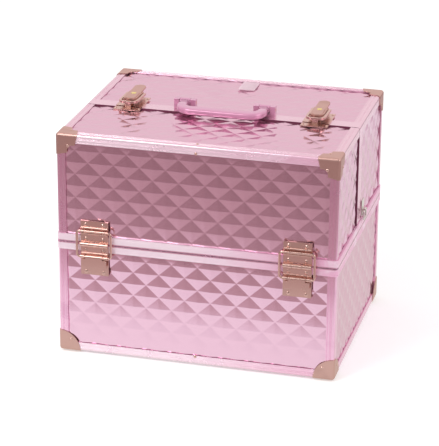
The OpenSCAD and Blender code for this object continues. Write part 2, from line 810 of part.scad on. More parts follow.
// Distance of the leaves' rivets from the split and from the leaves' ends
rear_row = 15;
rear_row_in = 7.5;
rear_rivet_x = rear_hinge_w / 2 - rear_row_in;
module rear_leaf_rivets(side) {
  for (k = [-1, 1])
    translate([k * rear_rivet_x, rim_face + sheet_t, split_z + side * rear_row])
      rotate([-90, 0, 0]) rivet(rivet_d, latch_rivet_h, shank_d, sheet_t);
}
module rear_leaf(side) {
  near = side * (knuckle_r + side_gap);
  far = side * rear_leaf_h;
  third = (rear_hinge_w - 2 * side_gap) / 3;
  difference() {
    union() {
      leaf(rear_hinge_w, min(near, far), max(near, far), far - side * sheet_t / 2);
      if (side < 0) {
        finger(-third / 2, third / 2, side);
      } else {
        finger(-rear_hinge_w / 2, -third / 2 - side_gap, side);
        finger(third / 2 + side_gap, rear_hinge_w / 2, side);
      }
    }
    for (k = [-1, 1]) translate([k * rear_rivet_x, -cut, side * rear_row])
      rotate([-90, 0, 0]) cylinder(h = sheet_t + 2 * cut, d = shank_d, $fn = 24);
  }
}
module rear_hinge_base_leaves() {
  color(copper) for (sx = [-1, 1]) translate([sx * rear_hinge_x, rim_face, split_z]) rear_leaf(-1);
}
module rear_hinge_lid_leaves() {
  color(copper) for (sx = [-1, 1]) translate([sx * rear_hinge_x, rim_face, split_z]) rear_leaf(1);
}

// ---------- front half ----------

front_x = -half_w + side_inset;
rear_board_d = half_d - seam_r - seam_web;
seam_hem = seam_strip_w - seam_web;

module front_lid_front_panel() {
  color(pink) translate([-half_w + board_in, -half_d + face_recess, lid_wall_z])
    facing_front() lid_wall(high_valley_x);
}
module front_lid_top_panel() {
  color(pink) translate([front_x, -half_d + side_inset, top_z - face_recess]) lid_top(front_half_d, 0);
}
module front_lid_right_panel() {
  color(pink) translate([half_w - face_recess, -half_d + side_inset, lid_wall_z])
    facing_right() lid_side(front_half_d, 0);
}
module front_lid_left_panel() {
  color(pink) mirror([1, 0, 0]) translate([half_w - face_recess, -half_d + side_inset, lid_wall_z])
    facing_right() lid_side(front_half_d, 0);
}

module front_lid_edge_strips() {
  color(strip_pink) {
    for (sx = [-1, 1]) {
      upright_strip(sx, -1, lid_z + rim_h + butt_gap, top_z - strip_end);
      short_strip(sx, -half_d + strip_end, seam_f, top_z, false);
    }
    long_strip(-1, top_z, false);
  }
}

module front_lid_rim() {
  color(strip_pink) lid_rim(-case_d, seam_f);
}

module front_lid_corner_caps() {
  color(copper) for (sx = [-1, 1]) at_corner(sx, -1, top_z, false) corner_cap(false);
}

// Lining sheet inside a half, over its depth from y1 to y2; the outer wall is at y1 or y2
module lid_lining(y1, y2) {
  x = half_w - board_in;
  z = top_z - board_in;
  front = y1 < -half_d + wall_t;
  difference() {
    span([-x, y1, lid_wall_z], [x, y2, z]);
    span([-x + lining_t, front ? y1 + lining_t : y1 - cut, lid_wall_z - cut],
      [x - lining_t, front ? y2 + cut : y2 - lining_t, z - lining_t]);
  }
}
module front_lid_lining() {
  color(dark) lid_lining(-half_d + board_in, seam_f);
}

// Small rivets of the top latches' ears, one at each side
ear_rivet_d = 3.4;
ear_rivet_edge = 0.6;
ear_rivet_x = top_latch_w / 2 - ear_rivet_d / 2 - ear_rivet_edge;
module ear_rivets(sx, y, z) {
  for (k = [-1, 1]) translate([sx * top_latch_x + k * ear_rivet_x, y, z + sheet_t])
    rivet(ear_rivet_d, cap_rivet_h, shank_d, sheet_t);
}
module ear_holes(y) {
  for (k = [-1, 1]) translate([k * ear_rivet_x, y, -cut])
    cylinder(h = sheet_t + 2 * cut, d = shank_d, $fn = 24);
}

module front_lid_rivets() {
  color(copper) {
    for (sx = [-1, 1]) {
      at_corner(sx, -1, top_z, false) cap_rivets();
      translate([sx * latch_x, 0, 0]) {
        latch_rivet_row(near_row_up);
        latch_rivet_row(high_row_up);
      }
      ear_rivets(sx, seam_f - strike_rivet_y, strike_z);
    }
    translate([0, -half_d, top_z - strip_rivet_in]) rotate([90, 0, 0]) strip_rivet();
    translate([0, -half_d + top_rivet_in, top_z]) strip_rivet();
  }
}

// ---------- top latches ----------
// The lever turns on a pin in the base's knuckle. The loop hangs on a pin behind that axis,
// goes round the lever and hooks over the strike's lip, in front of the seam.

strike_rivet_y = strike_d / 2;
// The strikes lie on the peaks of the pressed sheet
strike_z = top_z - face_recess + pyramid_h;
// Gap between the seam and the two plates
plate_gap = 0.5;
top_base_y = seam_r + plate_gap;
base_rivet_in = 6;
top_base_rivet_y = top_base_y + top_base_d - base_rivet_in;
lip_h = 10.5;
loop_end_r = 9;
lip_w = loop_w + loop_band - 2 * loop_end_r;
lever_y = seam_r + lever_axis_y;
lever_z = top_z + lever_axis_h;
loop_pin_z = 2;
loop_pin_d = 2.4;
// Height of the loop's front bar above its pin
loop_rise = 1;
loop_run = loop_pin_y + loop_reach;
loop_l = norm([loop_run, loop_rise]);
loop_bar_y = lever_y - loop_reach;
lip_y = loop_bar_y + loop_band / 2 + side_gap;
top_knuckle_w = 11.6;
top_knuckle_r = 2.8;
top_knuckle_web = 2.2;
cheek_t = 3;

module top_latch_strikes() {
  color(copper) for (sx = [-1, 1]) translate([sx * top_latch_x, 0, strike_z]) {
    difference() {
      span([-top_latch_w / 2, seam_f - strike_d, 0],
        [top_latch_w / 2, seam_f - plate_gap, sheet_t]);
      ear_holes(seam_f - strike_rivet_y);
    }
    span([-lip_w / 2, lip_y, sheet_t - over], [lip_w / 2, lip_y + sheet_t, lip_h]);
  }
}
module top_latch_base() {
  difference() {
    union() {
      span([-top_latch_w / 2, top_base_y, 0], [top_latch_w / 2, top_base_y + top_base_d, sheet_t]);
      translate([0, lever_y, lever_axis_h])
        bar_x(-top_knuckle_w / 2, top_knuckle_w / 2, top_knuckle_r);
      span([-top_knuckle_w / 2, lever_y - top_knuckle_web, sheet_t - over],
        [top_knuckle_w / 2, lever_y + top_knuckle_web, lever_axis_h]);
    }
    translate([0, lever_y, lever_axis_h])
      bar_x(-top_latch_w, top_latch_w, hinge_pin_d / 2 + running_gap);
    ear_holes(top_base_rivet_y);
  }
}
module top_latch_bases() {
  color(copper) for (sx = [-1, 1]) translate([sx * top_latch_x, 0, top_z]) top_latch_base();
}

// Lever, drawn with its axis at the origin: a sloping oval plate with a narrower tongue
// behind it, a raised pad, and two cheeks that hold the axis pin and the loop's pin
lever_front = 5.5;
lever_plate_t = 2;
pad_l = 31;
pad_start = 1.5;
pad_t = 0.8;
// Insets of the pad and of the tongue from the sides of the lever's plate
pad_inset = 2.1;
tongue_inset = 1.5;
// Height of the plate's front end above the axis, and the cheeks' edges behind and below
plate_z = 3.2;
cheek_foot = 1.6;
cheek_back = 2.4;
cheek_heel = 2.2;
module oval(w, l, t) {
  translate([-w / 2, w / 2, 0]) cube([w, l - w, t]);
  for (y = [w / 2, l - w / 2]) translate([0, y, 0]) cylinder(h = t, d = w, $fn = 64);
}
// Height of the underside of the lever's plate at the distance y behind its axis
function plate_under(y) = plate_z + (y + lever_front) * tan(tongue_slope);
module top_latch_cheek() {
  back = loop_pin_y + cheek_back;
  rotate([90, 0, 90]) linear_extrude(cheek_t)
    polygon([[-cheek_heel, -cheek_foot], [back, -cheek_foot], [back, plate_under(back) + lever_plate_t / 2],
      [-cheek_heel, plate_under(-cheek_heel) + over]]);
  rotate([0, 90, 0]) cylinder(h = cheek_t, r = top_knuckle_r, $fn = 40);
}
module top_latch_lever() {
  cheek_x = top_knuckle_w / 2 + side_gap;
  difference() {
    union() {
      translate([0, -lever_front, plate_z]) rotate([tongue_slope, 0, 0]) {
        oval(tongue_w, loop_pin_y + lever_front, lever_plate_t);
        translate([0, loop_pin_y / 2, 0])
          oval(tongue_w - 2 * tongue_inset, tongue_l + lever_front - loop_pin_y / 2, lever_plate_t);
        translate([0, pad_start, lever_plate_t - over])
          oval(tongue_w - 2 * pad_inset, pad_l, pad_t + over);
      }
      for (x1 = [-cheek_x - cheek_t, cheek_x]) translate([x1, 0, 0]) top_latch_cheek();
      bar_x(-cheek_x - over, cheek_x + over, hinge_pin_d / 2);
    }
    translate([0, loop_pin_y, loop_pin_z])
      bar_x(-top_latch_w, top_latch_w, loop_pin_d / 2 + running_gap);
  }
}
module top_latch_lever_left() {
  color(copper) translate([-top_latch_x, lever_y, lever_z]) top_latch_lever();
}
module top_latch_lever_right() {
  color(copper) translate([top_latch_x, lever_y, lever_z]) top_latch_lever();
}

// Outline w wide from y = -front back to y = back, with the two front corners rounded to r
module round_front(w, front, back, r) {
  intersection() {
    translate([-w / 2, -front]) square([w, front + back]);
    union() {
      translate([-w / 2, -front + r]) square([w, front - r + back]);
      translate([-w / 2 + r, -front]) square([w - 2 * r, front + back]);
      for (sx = [-1, 1]) translate([sx * (w / 2 - r), -front + r]) circle(r, $fn = 64);
    }
  }
}

// Hook loop, drawn with its pin at the origin: a flat band with a round front, rising to it
module top_latch_ring() {
  front = loop_l + loop_band / 2;
  bar_x(-loop_w / 2, loop_w / 2, loop_pin_d / 2);
  rotate([-atan(loop_rise / loop_run), 0, 0]) translate([0, 0, -loop_t / 2]) linear_extrude(loop_t)
    difference() {
      round_front(loop_w + loop_band, front, loop_band / 2, loop_end_r);
      round_front(loop_w - loop_band, front - loop_band, loop_band, loop_end_r - loop_band);
    }
}
module top_latch_ring_left() {
  color(copper) translate([-top_latch_x, lever_y + loop_pin_y, lever_z + loop_pin_z]) top_latch_ring();
}
module top_latch_ring_right() {
  color(copper) translate([top_latch_x, lever_y + loop_pin_y, lever_z + loop_pin_z]) top_latch_ring();
}

// ---------- rear half ----------

module rear_lid_rear_panel() {
  color(pink) translate([half_w - board_in, half_d - face_recess, lid_wall_z])
    facing_rear() lid_wall(half_w);
}
module rear_lid_top_panel() {
  color(pink) translate([-front_x, half_d - side_inset, top_z - face_recess])
    rotate([0, 0, 180]) lid_top(rear_board_d, seam_hem);
}
module rear_lid_right_panel() {
  color(pink) mirror([1, 0, 0]) translate([-half_w + face_recess, half_d - side_inset, lid_wall_z])
    facing_left() lid_side(rear_board_d, seam_hem);
}
module rear_lid_left_panel() {
  color(pink) translate([-half_w + face_recess, half_d - side_inset, lid_wall_z])
    facing_left() lid_side(rear_board_d, seam_hem);
}

module rear_lid_edge_strips() {
  color(strip_pink) {
    for (sx = [-1, 1]) {
      upright_strip(sx, 1, lid_z + rim_h + butt_gap, top_z - strip_end);
      short_strip(sx, seam_r + seam_strip_w + butt_gap, half_d - strip_end, top_z, false);
    }
    long_strip(1, top_z, false);
    seam_hoop();
  }
}

module rear_lid_rim() {
  color(strip_pink) lid_rim(seam_r, case_d);
}

module rear_lid_corner_caps() {
  color(copper) for (sx = [-1, 1]) at_corner(sx, 1, top_z, false) corner_cap(false);
}

module rear_lid_lining() {
  color(dark) lid_lining(seam_r + seam_web, half_d - board_in);
}

module rear_lid_rivets() {
  color(copper) for (sx = [-1, 1]) {
    at_corner(sx, 1, top_z, false) cap_rivets();
    ear_rivets(sx, top_base_rivet_y, top_z);
    translate([sx * rear_hinge_x, 0, 0]) rear_leaf_rivets(1);
  }
}

// ---------- handle ----------

lug_seam_gap = 14.5;
handle_y = seam_r + lug_seam_gap + lug_l / 2;
handle_z = top_z + handle_axis_h;
arm_end_w = lug_gap - 2 * side_gap;
handle_foot = 2;

module handle_brackets() {
  color(pink) for (sx = [-1, 1]) translate([sx * bracket_span / 2, handle_y, top_z]) {
    difference() {
      union() {
        for (k = [-1, 1]) {
          x1 = k > 0 ? lug_gap / 2 : -lug_gap / 2 - lug_w;
          span([x1, -lug_l / 2, 0], [x1 + lug_w, lug_l / 2, lug_h]);
        }
        span([-lug_gap / 2 - over, -lug_l / 2, 0], [lug_gap / 2 + over, lug_l / 2, handle_foot]);
      }
      translate([0, 0, handle_axis_h]) bar_x(-case_w, case_w, handle_pin_d / 2);
    }
  }
}

module handle_pins() {
  color(copper) for (sx = [-1, 1]) translate([sx * bracket_span / 2, handle_y, handle_z])
    bar_x(-lug_gap / 2 - lug_w, lug_gap / 2 + lug_w, handle_pin_d / 2);
}

// Handle folded to the front: two arms from the pins, bent into the grip, which comes down
// to its gap above the top
handle_bend = 22;
hub_r = handle_axis_h - handle_foot - side_gap;
hub_inset = 0.3;
hub_tail = 1;
grip_gap = 2;
handle_drop = handle_axis_h - grip_t / 2 - grip_gap;
module handle() {
  arm = arm_end_w - 2 * hub_inset;
  w = bracket_span + arm;
  color(pink) translate([0, handle_y, handle_z]) difference() {
    union() {
      for (sx = [-1, 1]) translate([sx * bracket_span / 2, 0, 0])
        bar_x(-arm_end_w / 2, arm_end_w / 2, hub_r);
      rotate([asin(handle_drop / handle_reach), 0, 0]) translate([0, 0, -grip_t / 2]) linear_extrude(grip_t) difference() {
        round_front(w, handle_reach, hub_tail, handle_bend);
        round_front(w - 2 * arm, handle_reach - grip_w, hub_tail + cut, handle_bend - arm);
      }
    }
    bar_x(-case_w, case_w, handle_pin_d / 2 + running_gap);
  }
}

// Small bare plate on the rear top, a little to the right of the middle
plate_w = 22;
plate_left = 6;
plate_d = 34;
plate_t = 0.6;
plate_strip_gap = 4;
plate_y = half_d - strip_w - plate_strip_gap - plate_d;
module label_plate() {
  color([0.95, 0.9, 0.93]) span([-plate_left, plate_y, top_z - fit_gap],
    [plate_w - plate_left, plate_y + plate_d, top_z + plate_t]);
}

// ---------- strap rings ----------

strap_strip_gap = 4;
strap_lug_w = 14;
strap_y = seam_r + seam_strip_w + strap_strip_gap + strap_lug_w / 2;
strap_lug_h = 22;
strap_out = 4;
strap_r = strap_wire_d / 2;
strap_bend = 3;
strap_ring_l = 12;
strap_eye_w = strap_ring_w - 2 * strap_bend - 2 * fit_gap;
strap_eye_t = 1.1;
strap_eye_r = strap_r + running_gap + strap_eye_t;
strap_drop = 8;

// Lug on the side of the rear half, drawn with +X outward and Y across
module strap_lug() {
  difference() {
    union() {
      span([0, -strap_lug_w / 2, -strap_drop], [sheet_t, strap_lug_w / 2, strap_lug_h - strap_drop]);
      translate([strap_out, strap_eye_w / 2, 0]) rotate([90, 0, 0])
        cylinder(h = strap_eye_w, r = strap_eye_r, $fn = 40);
      span([sheet_t - over, -strap_eye_w / 2, -strap_eye_r],
        [strap_out, strap_eye_w / 2, strap_eye_r]);
    }
    translate([strap_out, strap_lug_w, 0]) rotate([90, 0, 0])
      cylinder(h = 2 * strap_lug_w, r = strap_r + running_gap, $fn = 40);
  }
}
module strap_lugs() {
  color(copper) for (sx = [0, 1]) mirror([sx, 0, 0])
    translate([half_w, strap_y, split_z + strap_z]) strap_lug();
}
module strap_ring() {
  translate([half_w + strap_out, strap_y, split_z + strap_z]) rotate([0, 0, 90])
    rotate([-90, 0, 0]) wire_ring(strap_ring_w, strap_ring_l, strap_r, strap_bend);
}
module strap_ring_right() { color(copper) strap_ring(); }
module strap_ring_left() { color(copper) mirror([1, 0, 0]) strap_ring(); }

// ---------- trays and their arms ----------
// side = 1 is the rear pair of trays and side = -1 the front pair, its mirror image

bracket_t = 1.5;
bracket_edge = 2;
head_t = 1;
head_edge = 1.5;
head_r = arm_pin_d / 2 + head_edge;
inner_x = half_w - wall_t;
arm_x2 = inner_x - bracket_t - side_gap;
arm_x1 = arm_x2 - arm_t;
tray_x = arm_x1 - side_gap - head_t - side_gap;
arm_pivot_z = rim_z - arm_pivot_drop;
lead_pivot_y = half_d - wall_t - lead_pivot_in;
trail_pivot_y = lead_pivot_y - arm_pitch;
tray_pivot_z = 6;

// Rivet shank from x1 out to x2 with its head at the inner end
module inward_rivet(x1, x2) {
  bar_x(x1, x2, arm_pin_d / 2);
  bar_x(x1 - head_t + over, x1 + over, head_r);
}

module tray_arm_brackets() {
  half_l = arm_w / 2 + bracket_edge;
  color(copper) for (mx = [0, 1], my = [0, 1]) mirror([mx, 0, 0]) mirror([0, my, 0]) {
    span([inner_x - bracket_t, trail_pivot_y - half_l, arm_pivot_z - half_l],
      [inner_x, lead_pivot_y + half_l, arm_pivot_z + half_l]);
    for (y = [trail_pivot_y, lead_pivot_y]) translate([0, y, arm_pivot_z])
      inward_rivet(arm_x1 - side_gap, inner_x - bracket_t + over);
  }
}

// Pair of arms, left and right, on the pivot at distance y from the middle
module arm_pair(y, side) {
  color(copper) for (mx = [0, 1]) mirror([mx, 0, 0])
    translate([0, side * y, arm_pivot_z]) rotate([side * arm_lean, 0, 0]) {
      difference() {
        union() {
          span([arm_x1, -arm_w / 2, 0], [arm_x2, arm_w / 2, arm_high]);
          for (z = [0, arm_high]) translate([0, 0, z]) bar_x(arm_x1, arm_x2, arm_w / 2);
        }
        bar_x(arm_x1 - cut, arm_x2 + cut, arm_pin_d / 2 + running_gap);
      }
      for (z = [arm_low, arm_high]) translate([0, 0, z])
        inward_rivet(tray_x - tray_t - side_gap, arm_x1 + over);
    }
}
module rear_lead_arms() { arm_pair(lead_pivot_y, 1); }
module rear_trail_arms() { arm_pair(trail_pivot_y, 1); }
module front_lead_arms() { arm_pair(lead_pivot_y, -1); }
module front_trail_arms() { arm_pair(trail_pivot_y, -1); }

// Open tray whose arms' rivets are at the distance reach along the leaning arms
module tray(reach, side) {
  shift_y = -reach * sin(arm_lean);
  pivot_z = arm_pivot_z + reach * cos(arm_lean);
  y1 = tray_mid_gap;
  y2 = half_d - wall_t - tray_end_gap;
  z1 = pivot_z - tray_pivot_z;
  color(dark) mirror([0, side > 0 ? 0 : 1, 0]) difference() {
    span([-tray_x, y1, z1], [tray_x, y2, z1 + tray_h]);
    span([-tray_x + tray_t, y1 + tray_t, z1 + tray_t],
      [tray_x - tray_t, y2 - tray_t, z1 + tray_h + cut]);
    translate([0, lead_pivot_y + shift_y, pivot_z])
      bar_x(-case_w, case_w, arm_pin_d / 2 + running_gap);
    translate([0, trail_pivot_y + shift_y, pivot_z])
      bar_x(-case_w, case_w, arm_pin_d / 2 + loose_gap);
  }
}
module rear_lower_tray() { tray(arm_low, 1); }
module rear_upper_tray() { tray(arm_high, 1); }
module front_lower_tray() { tray(arm_low, -1); }
module front_upper_tray() { tray(arm_high, -1); }

base_front_panel();
base_rear_panel();
base_left_panel();
base_right_panel();
base_floor_panel();
base_edge_strips();
base_rim();
base_corner_caps();
base_rivets();
feet();
base_lining();
front_latch_base_plates();
hinge_pins();
rear_hinge_base_leaves();
tray_arm_brackets();
front_latch_lever_left();
front_latch_lever_right();
front_latch_ring_left();
front_latch_ring_right();
front_lid_front_panel();
front_lid_top_panel();
front_lid_left_panel();
front_lid_right_panel();
front_lid_edge_strips();
front_lid_rim();
front_lid_corner_caps();
front_lid_rivets();
front_lid_lining();
front_latch_lid_plates();
top_latch_strikes();
rear_lid_rear_panel();
rear_lid_top_panel();
rear_lid_left_panel();
rear_lid_right_panel();
rear_lid_edge_strips();
rear_lid_rim();
rear_lid_corner_caps();
rear_lid_rivets();
rear_lid_lining();
rear_hinge_lid_leaves();
top_latch_bases();
handle_brackets();
handle_pins();
strap_lugs();
label_plate();
handle();
top_latch_lever_left();
top_latch_lever_right();
top_latch_ring_left();
top_latch_ring_right();
strap_ring_left();
strap_ring_right();
rear_lead_arms();
rear_trail_arms();
front_lead_arms();
front_trail_arms();
rear_lower_tray();
rear_upper_tray();
front_lower_tray();
front_upper_tray();
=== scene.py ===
# %% [markdown]
# # A pink make-up train case
# The case is a lower box with two halves on top that hinge apart. This lesson dresses its
# solids: pressed foil panels, pink anodised strips, rose gold fittings and a glossy handle.
# The solids come from a fixed frame, so a new piece is placed by the same measures as the
# case itself. All lengths here are in metres.

import json
import math

import bmesh
import bpy
from mathutils import Matrix, Vector
from mathutils.bvhtree import BVHTree


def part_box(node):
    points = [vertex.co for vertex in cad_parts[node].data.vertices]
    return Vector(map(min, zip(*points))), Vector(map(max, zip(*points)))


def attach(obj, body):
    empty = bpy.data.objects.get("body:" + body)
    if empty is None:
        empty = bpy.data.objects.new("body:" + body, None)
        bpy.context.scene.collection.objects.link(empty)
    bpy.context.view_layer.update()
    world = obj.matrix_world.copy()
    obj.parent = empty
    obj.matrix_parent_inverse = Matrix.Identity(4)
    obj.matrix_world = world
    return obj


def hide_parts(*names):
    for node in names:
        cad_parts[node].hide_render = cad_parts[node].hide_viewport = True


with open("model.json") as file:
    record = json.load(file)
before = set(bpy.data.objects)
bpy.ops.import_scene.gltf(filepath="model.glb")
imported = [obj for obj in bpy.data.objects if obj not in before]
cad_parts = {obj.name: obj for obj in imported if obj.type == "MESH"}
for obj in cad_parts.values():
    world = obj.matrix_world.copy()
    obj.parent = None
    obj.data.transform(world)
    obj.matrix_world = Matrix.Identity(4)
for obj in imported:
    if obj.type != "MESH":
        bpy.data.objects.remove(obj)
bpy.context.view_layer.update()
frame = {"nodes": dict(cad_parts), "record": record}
nodes = frame["nodes"]
bodies = frame["record"]["behaviour"]["bodies"]
body_of_node = {name: body for body, names in bodies.items() for name in names}

# %% [markdown]
# The outside of the edge strips is where most things are measured from. The origin is on
# the table under the middle of the case, the front looks along minus Y and Z is up.

# %% Measures of the case
HALF_W, HALF_D, TOP_Z = 0.180, 0.1425, 0.2962
print("case", 2 * HALF_W, "by", 2 * HALF_D, "by", TOP_Z)

# %% [markdown]
# The camera stands a little to the right of the case and looks down on it, with a long lens
# that keeps the edges nearly parallel. A long lens is a small field of view from far away,
# so the camera is nearly three metres off.

# %% Set the camera
scene = bpy.context.scene
scene.view_settings.view_transform = "Standard"
camera_data = bpy.data.cameras.new("studio_camera")
camera_data.lens = 174.03
camera_data.sensor_width = 36
camera = bpy.data.objects.new("studio_camera", camera_data)
camera.location = (0.6489, -2.5494, 1.1631)
camera.rotation_euler = (math.radians(68.787), math.radians(-0.446), math.radians(14.577))
scene.collection.objects.link(camera)
scene.camera = camera
print("camera stands", round(camera.location.length, 2), "m from the origin")

# %% [markdown]
# Every shader tree here is built from a few steps: add a node, join two sockets, do some
# arithmetic, and choose between two shaders.


# %% Helpers for shader nodes
def add_node(tree, kind, **values):
    """Add a shader node and set its properties or its named inputs."""
    node = tree.nodes.new(kind)
    for name, value in values.items():
        if hasattr(node, name):
            setattr(node, name, value)
        else:
            node.inputs[name.replace("_", " ")].default_value = value
    return node


def join(tree, source, target):
    """Link an output socket to an input socket."""
    tree.links.new(source, target)


def coordinates(tree, kind):
    """The three numbers of a texture coordinate, as sockets X, Y and Z."""
    split = add_node(tree, "ShaderNodeSeparateXYZ")
    join(tree, add_node(tree, "ShaderNodeTexCoord").outputs[kind], split.inputs[0])
    return split.outputs


def math_node(tree, operation, a, b=0.0):
    """Add a Math node. a and b are sockets or numbers."""
    node = add_node(tree, "ShaderNodeMath", operation=operation)
    for slot, value in enumerate((a, b)):
        if isinstance(value, (int, float)):
            node.inputs[slot].default_value = value
        else:
            join(tree, value, node.inputs[slot])
    return node.outputs[0]


def smooth_range(tree, value, low, high, to_low=0.0, to_high=1.0):
    """Map a value smoothly from one range to another."""
    node = add_node(tree, "ShaderNodeMapRange", interpolation_type="SMOOTHSTEP",
                    From_Min=low, From_Max=high, To_Min=to_low, To_Max=to_high)
    join(tree, value, node.inputs["Value"])
    return node.outputs["Result"]


def choose(tree, share, first, second):
    """Show one shader where share is 0 and another where it is 1."""
    mix = add_node(tree, "ShaderNodeMixShader")
    for slot, source in enumerate((share, first, second)):
        join(tree, source, mix.inputs[slot])
    return mix.outputs[0]


# %% [markdown]
# Polished foil shows the room more than its own colour. The case stands on a white sheet
# that falls off into a dim room in front, with a pale backdrop behind. The floor is white
# to the eye everywhere, and the fall into the room shows only in reflections. That is what
# makes the upper slopes of the pyramids dark and the lower ones bright.

# %% The world
WHITE = (1, 1, 1, 1)
ROOM_COLOUR = (1.0, 0.935, 0.925, 1)
ROOM_LIGHT, BACKDROP_LIGHT, SOFT_LIGHT = 0.42, 0.915, 0.78
# Where the room turns into the backdrop, as the Y of a direction
BACKDROP_FROM, BACKDROP_TO = -0.35, 0.15

world = bpy.data.worlds.new("studio")
scene.world = world
world.use_nodes = True
sky = world.node_tree
sky.nodes.clear()
ray = add_node(sky, "ShaderNodeLightPath").outputs
seen = math_node(sky, "MAXIMUM", ray["Is Camera Ray"], ray["Is Transmission Ray"])
soft_light = add_node(sky, "ShaderNodeBackground", Color=WHITE, Strength=SOFT_LIGHT)
plain_white = add_node(sky, "ShaderNodeBackground", Color=WHITE, Strength=1.0)
studio = add_node(sky, "ShaderNodeBackground", Color=ROOM_COLOUR)
backdrop = smooth_range(sky, coordinates(sky, "Generated")["Y"], BACKDROP_FROM, BACKDROP_TO,
                        ROOM_LIGHT, BACKDROP_LIGHT)
join(sky, backdrop, studio.inputs["Strength"])
unseen = choose(sky, ray["Is Glossy Ray"], soft_light.outputs[0], studio.outputs[0])
everywhere = choose(sky, seen, unseen, plain_white.outputs[0])
join(sky, everywhere, add_node(sky, "ShaderNodeOutputWorld").inputs[0])
print("world nodes", len(sky.nodes))

# %% [markdown]
# The table's material tells rays apart too. A camera ray meets plain white, lifted a little
# so that it stays white, and a glossy ray meets a glow that fades with the distance from
# the case.

# %% The table
TABLE_HALF = 6
FLOOR_WHITE, FLOOR_LIFT = (0.86, 0.86, 0.86, 1), 0.30
# Where the fade starts: beside the case, and behind it. In front it starts at the case
SIDE_START, BACK_START = 0.32, 0.85
# How bright the floor is in a reflection, by the distance beyond that start
FALL_OFF = (
    # The first stop is a painted shade where the floor meets the case
    (0.00, (0.88, 0.86, 0.81)),
    (0.02, (1.00, 1.00, 1.00)),
    (0.09, (1.00, 1.00, 1.00)),
    (0.12, (0.96, 0.95, 0.96)),
    (0.18, (0.94, 0.92, 0.94)),
    (0.23, (0.85, 0.79, 0.81)),
    (0.28, (0.62, 0.49, 0.51)),
    (0.36, (0.54, 0.40, 0.41)),
    (0.60, (0.43, 0.31, 0.32)),
    (1.20, (0.31, 0.20, 0.21)),
)
REACH = 1.3
# The glow is a little stronger on the left than on the right
SIDE_END, LEFT_GLOW, RIGHT_GLOW = 0.45, 1.03, 0.95

floor_mesh = bpy.data.meshes.new("table")
bm = bmesh.new()
bmesh.ops.create_grid(bm, x_segments=1, y_segments=1, size=TABLE_HALF)
bm.to_mesh(floor_mesh)
bm.free()
table = bpy.data.objects.new("table", floor_mesh)
scene.collection.objects.link(table)

table_mat = bpy.data.materials.new("white_table")
table_mat.use_nodes = True
tree = table_mat.node_tree
tree.nodes.clear()
place = coordinates(tree, "Object")
before = math_node(tree, "SUBTRACT", -HALF_D, place["Y"])
beside = math_node(tree, "SUBTRACT", math_node(tree, "ABSOLUTE", place["X"]), SIDE_START)
behind = math_node(tree, "SUBTRACT", place["Y"], BACK_START)
away = math_node(tree, "MAXIMUM", math_node(tree, "MAXIMUM", before, beside), behind)
fade = add_node(tree, "ShaderNodeValToRGB")
join(tree, math_node(tree, "DIVIDE", away, REACH), fade.inputs[0])
stops = fade.color_ramp.elements
while len(stops) < len(FALL_OFF):
    stops.new(1.0)
for stop, (distance, colour) in zip(stops, FALL_OFF):
    stop.position = distance / REACH
    stop.color = (*colour, 1)
glow = add_node(tree, "ShaderNodeEmission")
join(tree, fade.outputs[0], glow.inputs["Color"])
side_glow = smooth_range(tree, place["X"], -SIDE_END, SIDE_END, LEFT_GLOW, RIGHT_GLOW)
join(tree, side_glow, glow.inputs["Strength"])
ray = add_node(tree, "ShaderNodeLightPath").outputs
matt_white = add_node(tree, "ShaderNodeBsdfDiffuse", Color=FLOOR_WHITE)
lift = add_node(tree, "ShaderNodeEmission")
join(tree, math_node(tree, "MULTIPLY", ray["Is Camera Ray"], FLOOR_LIFT), lift.inputs["Strength"])
plain = add_node(tree, "ShaderNodeAddShader")
join(tree, matt_white.outputs[0], plain.inputs[0])
join(tree, lift.outputs[0], plain.inputs[1])
shown = choose(tree, ray["Is Glossy Ray"], plain.outputs[0], glow.outputs[0])
join(tree, shown, add_node(tree, "ShaderNodeOutputMaterial").inputs[0])
floor_mesh.materials.append(table_mat)
print("floor stops", len(FALL_OFF))

# %% [markdown]
# Two square soft lamps are enough, a strong one on the left and a weak one on the right.
# They round off the matt parts. The metal shows the room instead.


# %% The lamps
def softbox(name, place, watts):
    """A square soft lamp at a place, turned to the middle of the case."""
    data = bpy.data.lights.new(name, "AREA")
    data.shape = "SQUARE"
    data.size = 1.2
    data.energy = watts
    lamp = bpy.data.objects.new(name, data)
    lamp.location = place
    towards = Vector((0, 0, 0.15)) - lamp.location
    lamp.rotation_euler = towards.to_track_quat("-Z", "Y").to_euler()
    scene.collection.objects.link(lamp)
    return lamp


key = softbox("key_lamp", (-1.1, -1.5, 1.9), 24)
fill = softbox("fill_lamp", (1.8, -0.6, 1.2), 9)
print("lamps", key.name, fill.name)

# %% [markdown]
# Real finishes are never perfectly even. Three small effects are used by several
# materials, so each is a node group: fine speckle, drawn lines along one direction, and
# the dull smears that hands leave. All read Object coordinates, and every piece has its
# object at the origin, so a pattern stays put when a half of the case opens.


# %% Shared effects
FLOAT, VECTOR = "NodeSocketFloat", "NodeSocketVector"
# How far below and above its cover the noise turns from clean to dull
SMEAR_FROM, SMEAR_TO = -0.06, 0.16


def effect(name, inputs, outputs):
    """Start a node group, and return what it is given and the result to fill in."""
    group = bpy.data.node_groups.new(name, "ShaderNodeTree")
    for label, kind, value in inputs:
        socket = group.interface.new_socket(label, in_out="INPUT", socket_type=kind)
        socket.default_value = value
    for label in outputs:
        group.interface.new_socket(label, in_out="OUTPUT", socket_type=FLOAT)
    given = group.nodes.new("NodeGroupInput").outputs
    result = group.nodes.new("NodeGroupOutput").inputs
    return group, given, result


def object_place(group):
    """The socket with Object coordinates."""
    return add_node(group, "ShaderNodeTexCoord").outputs["Object"]


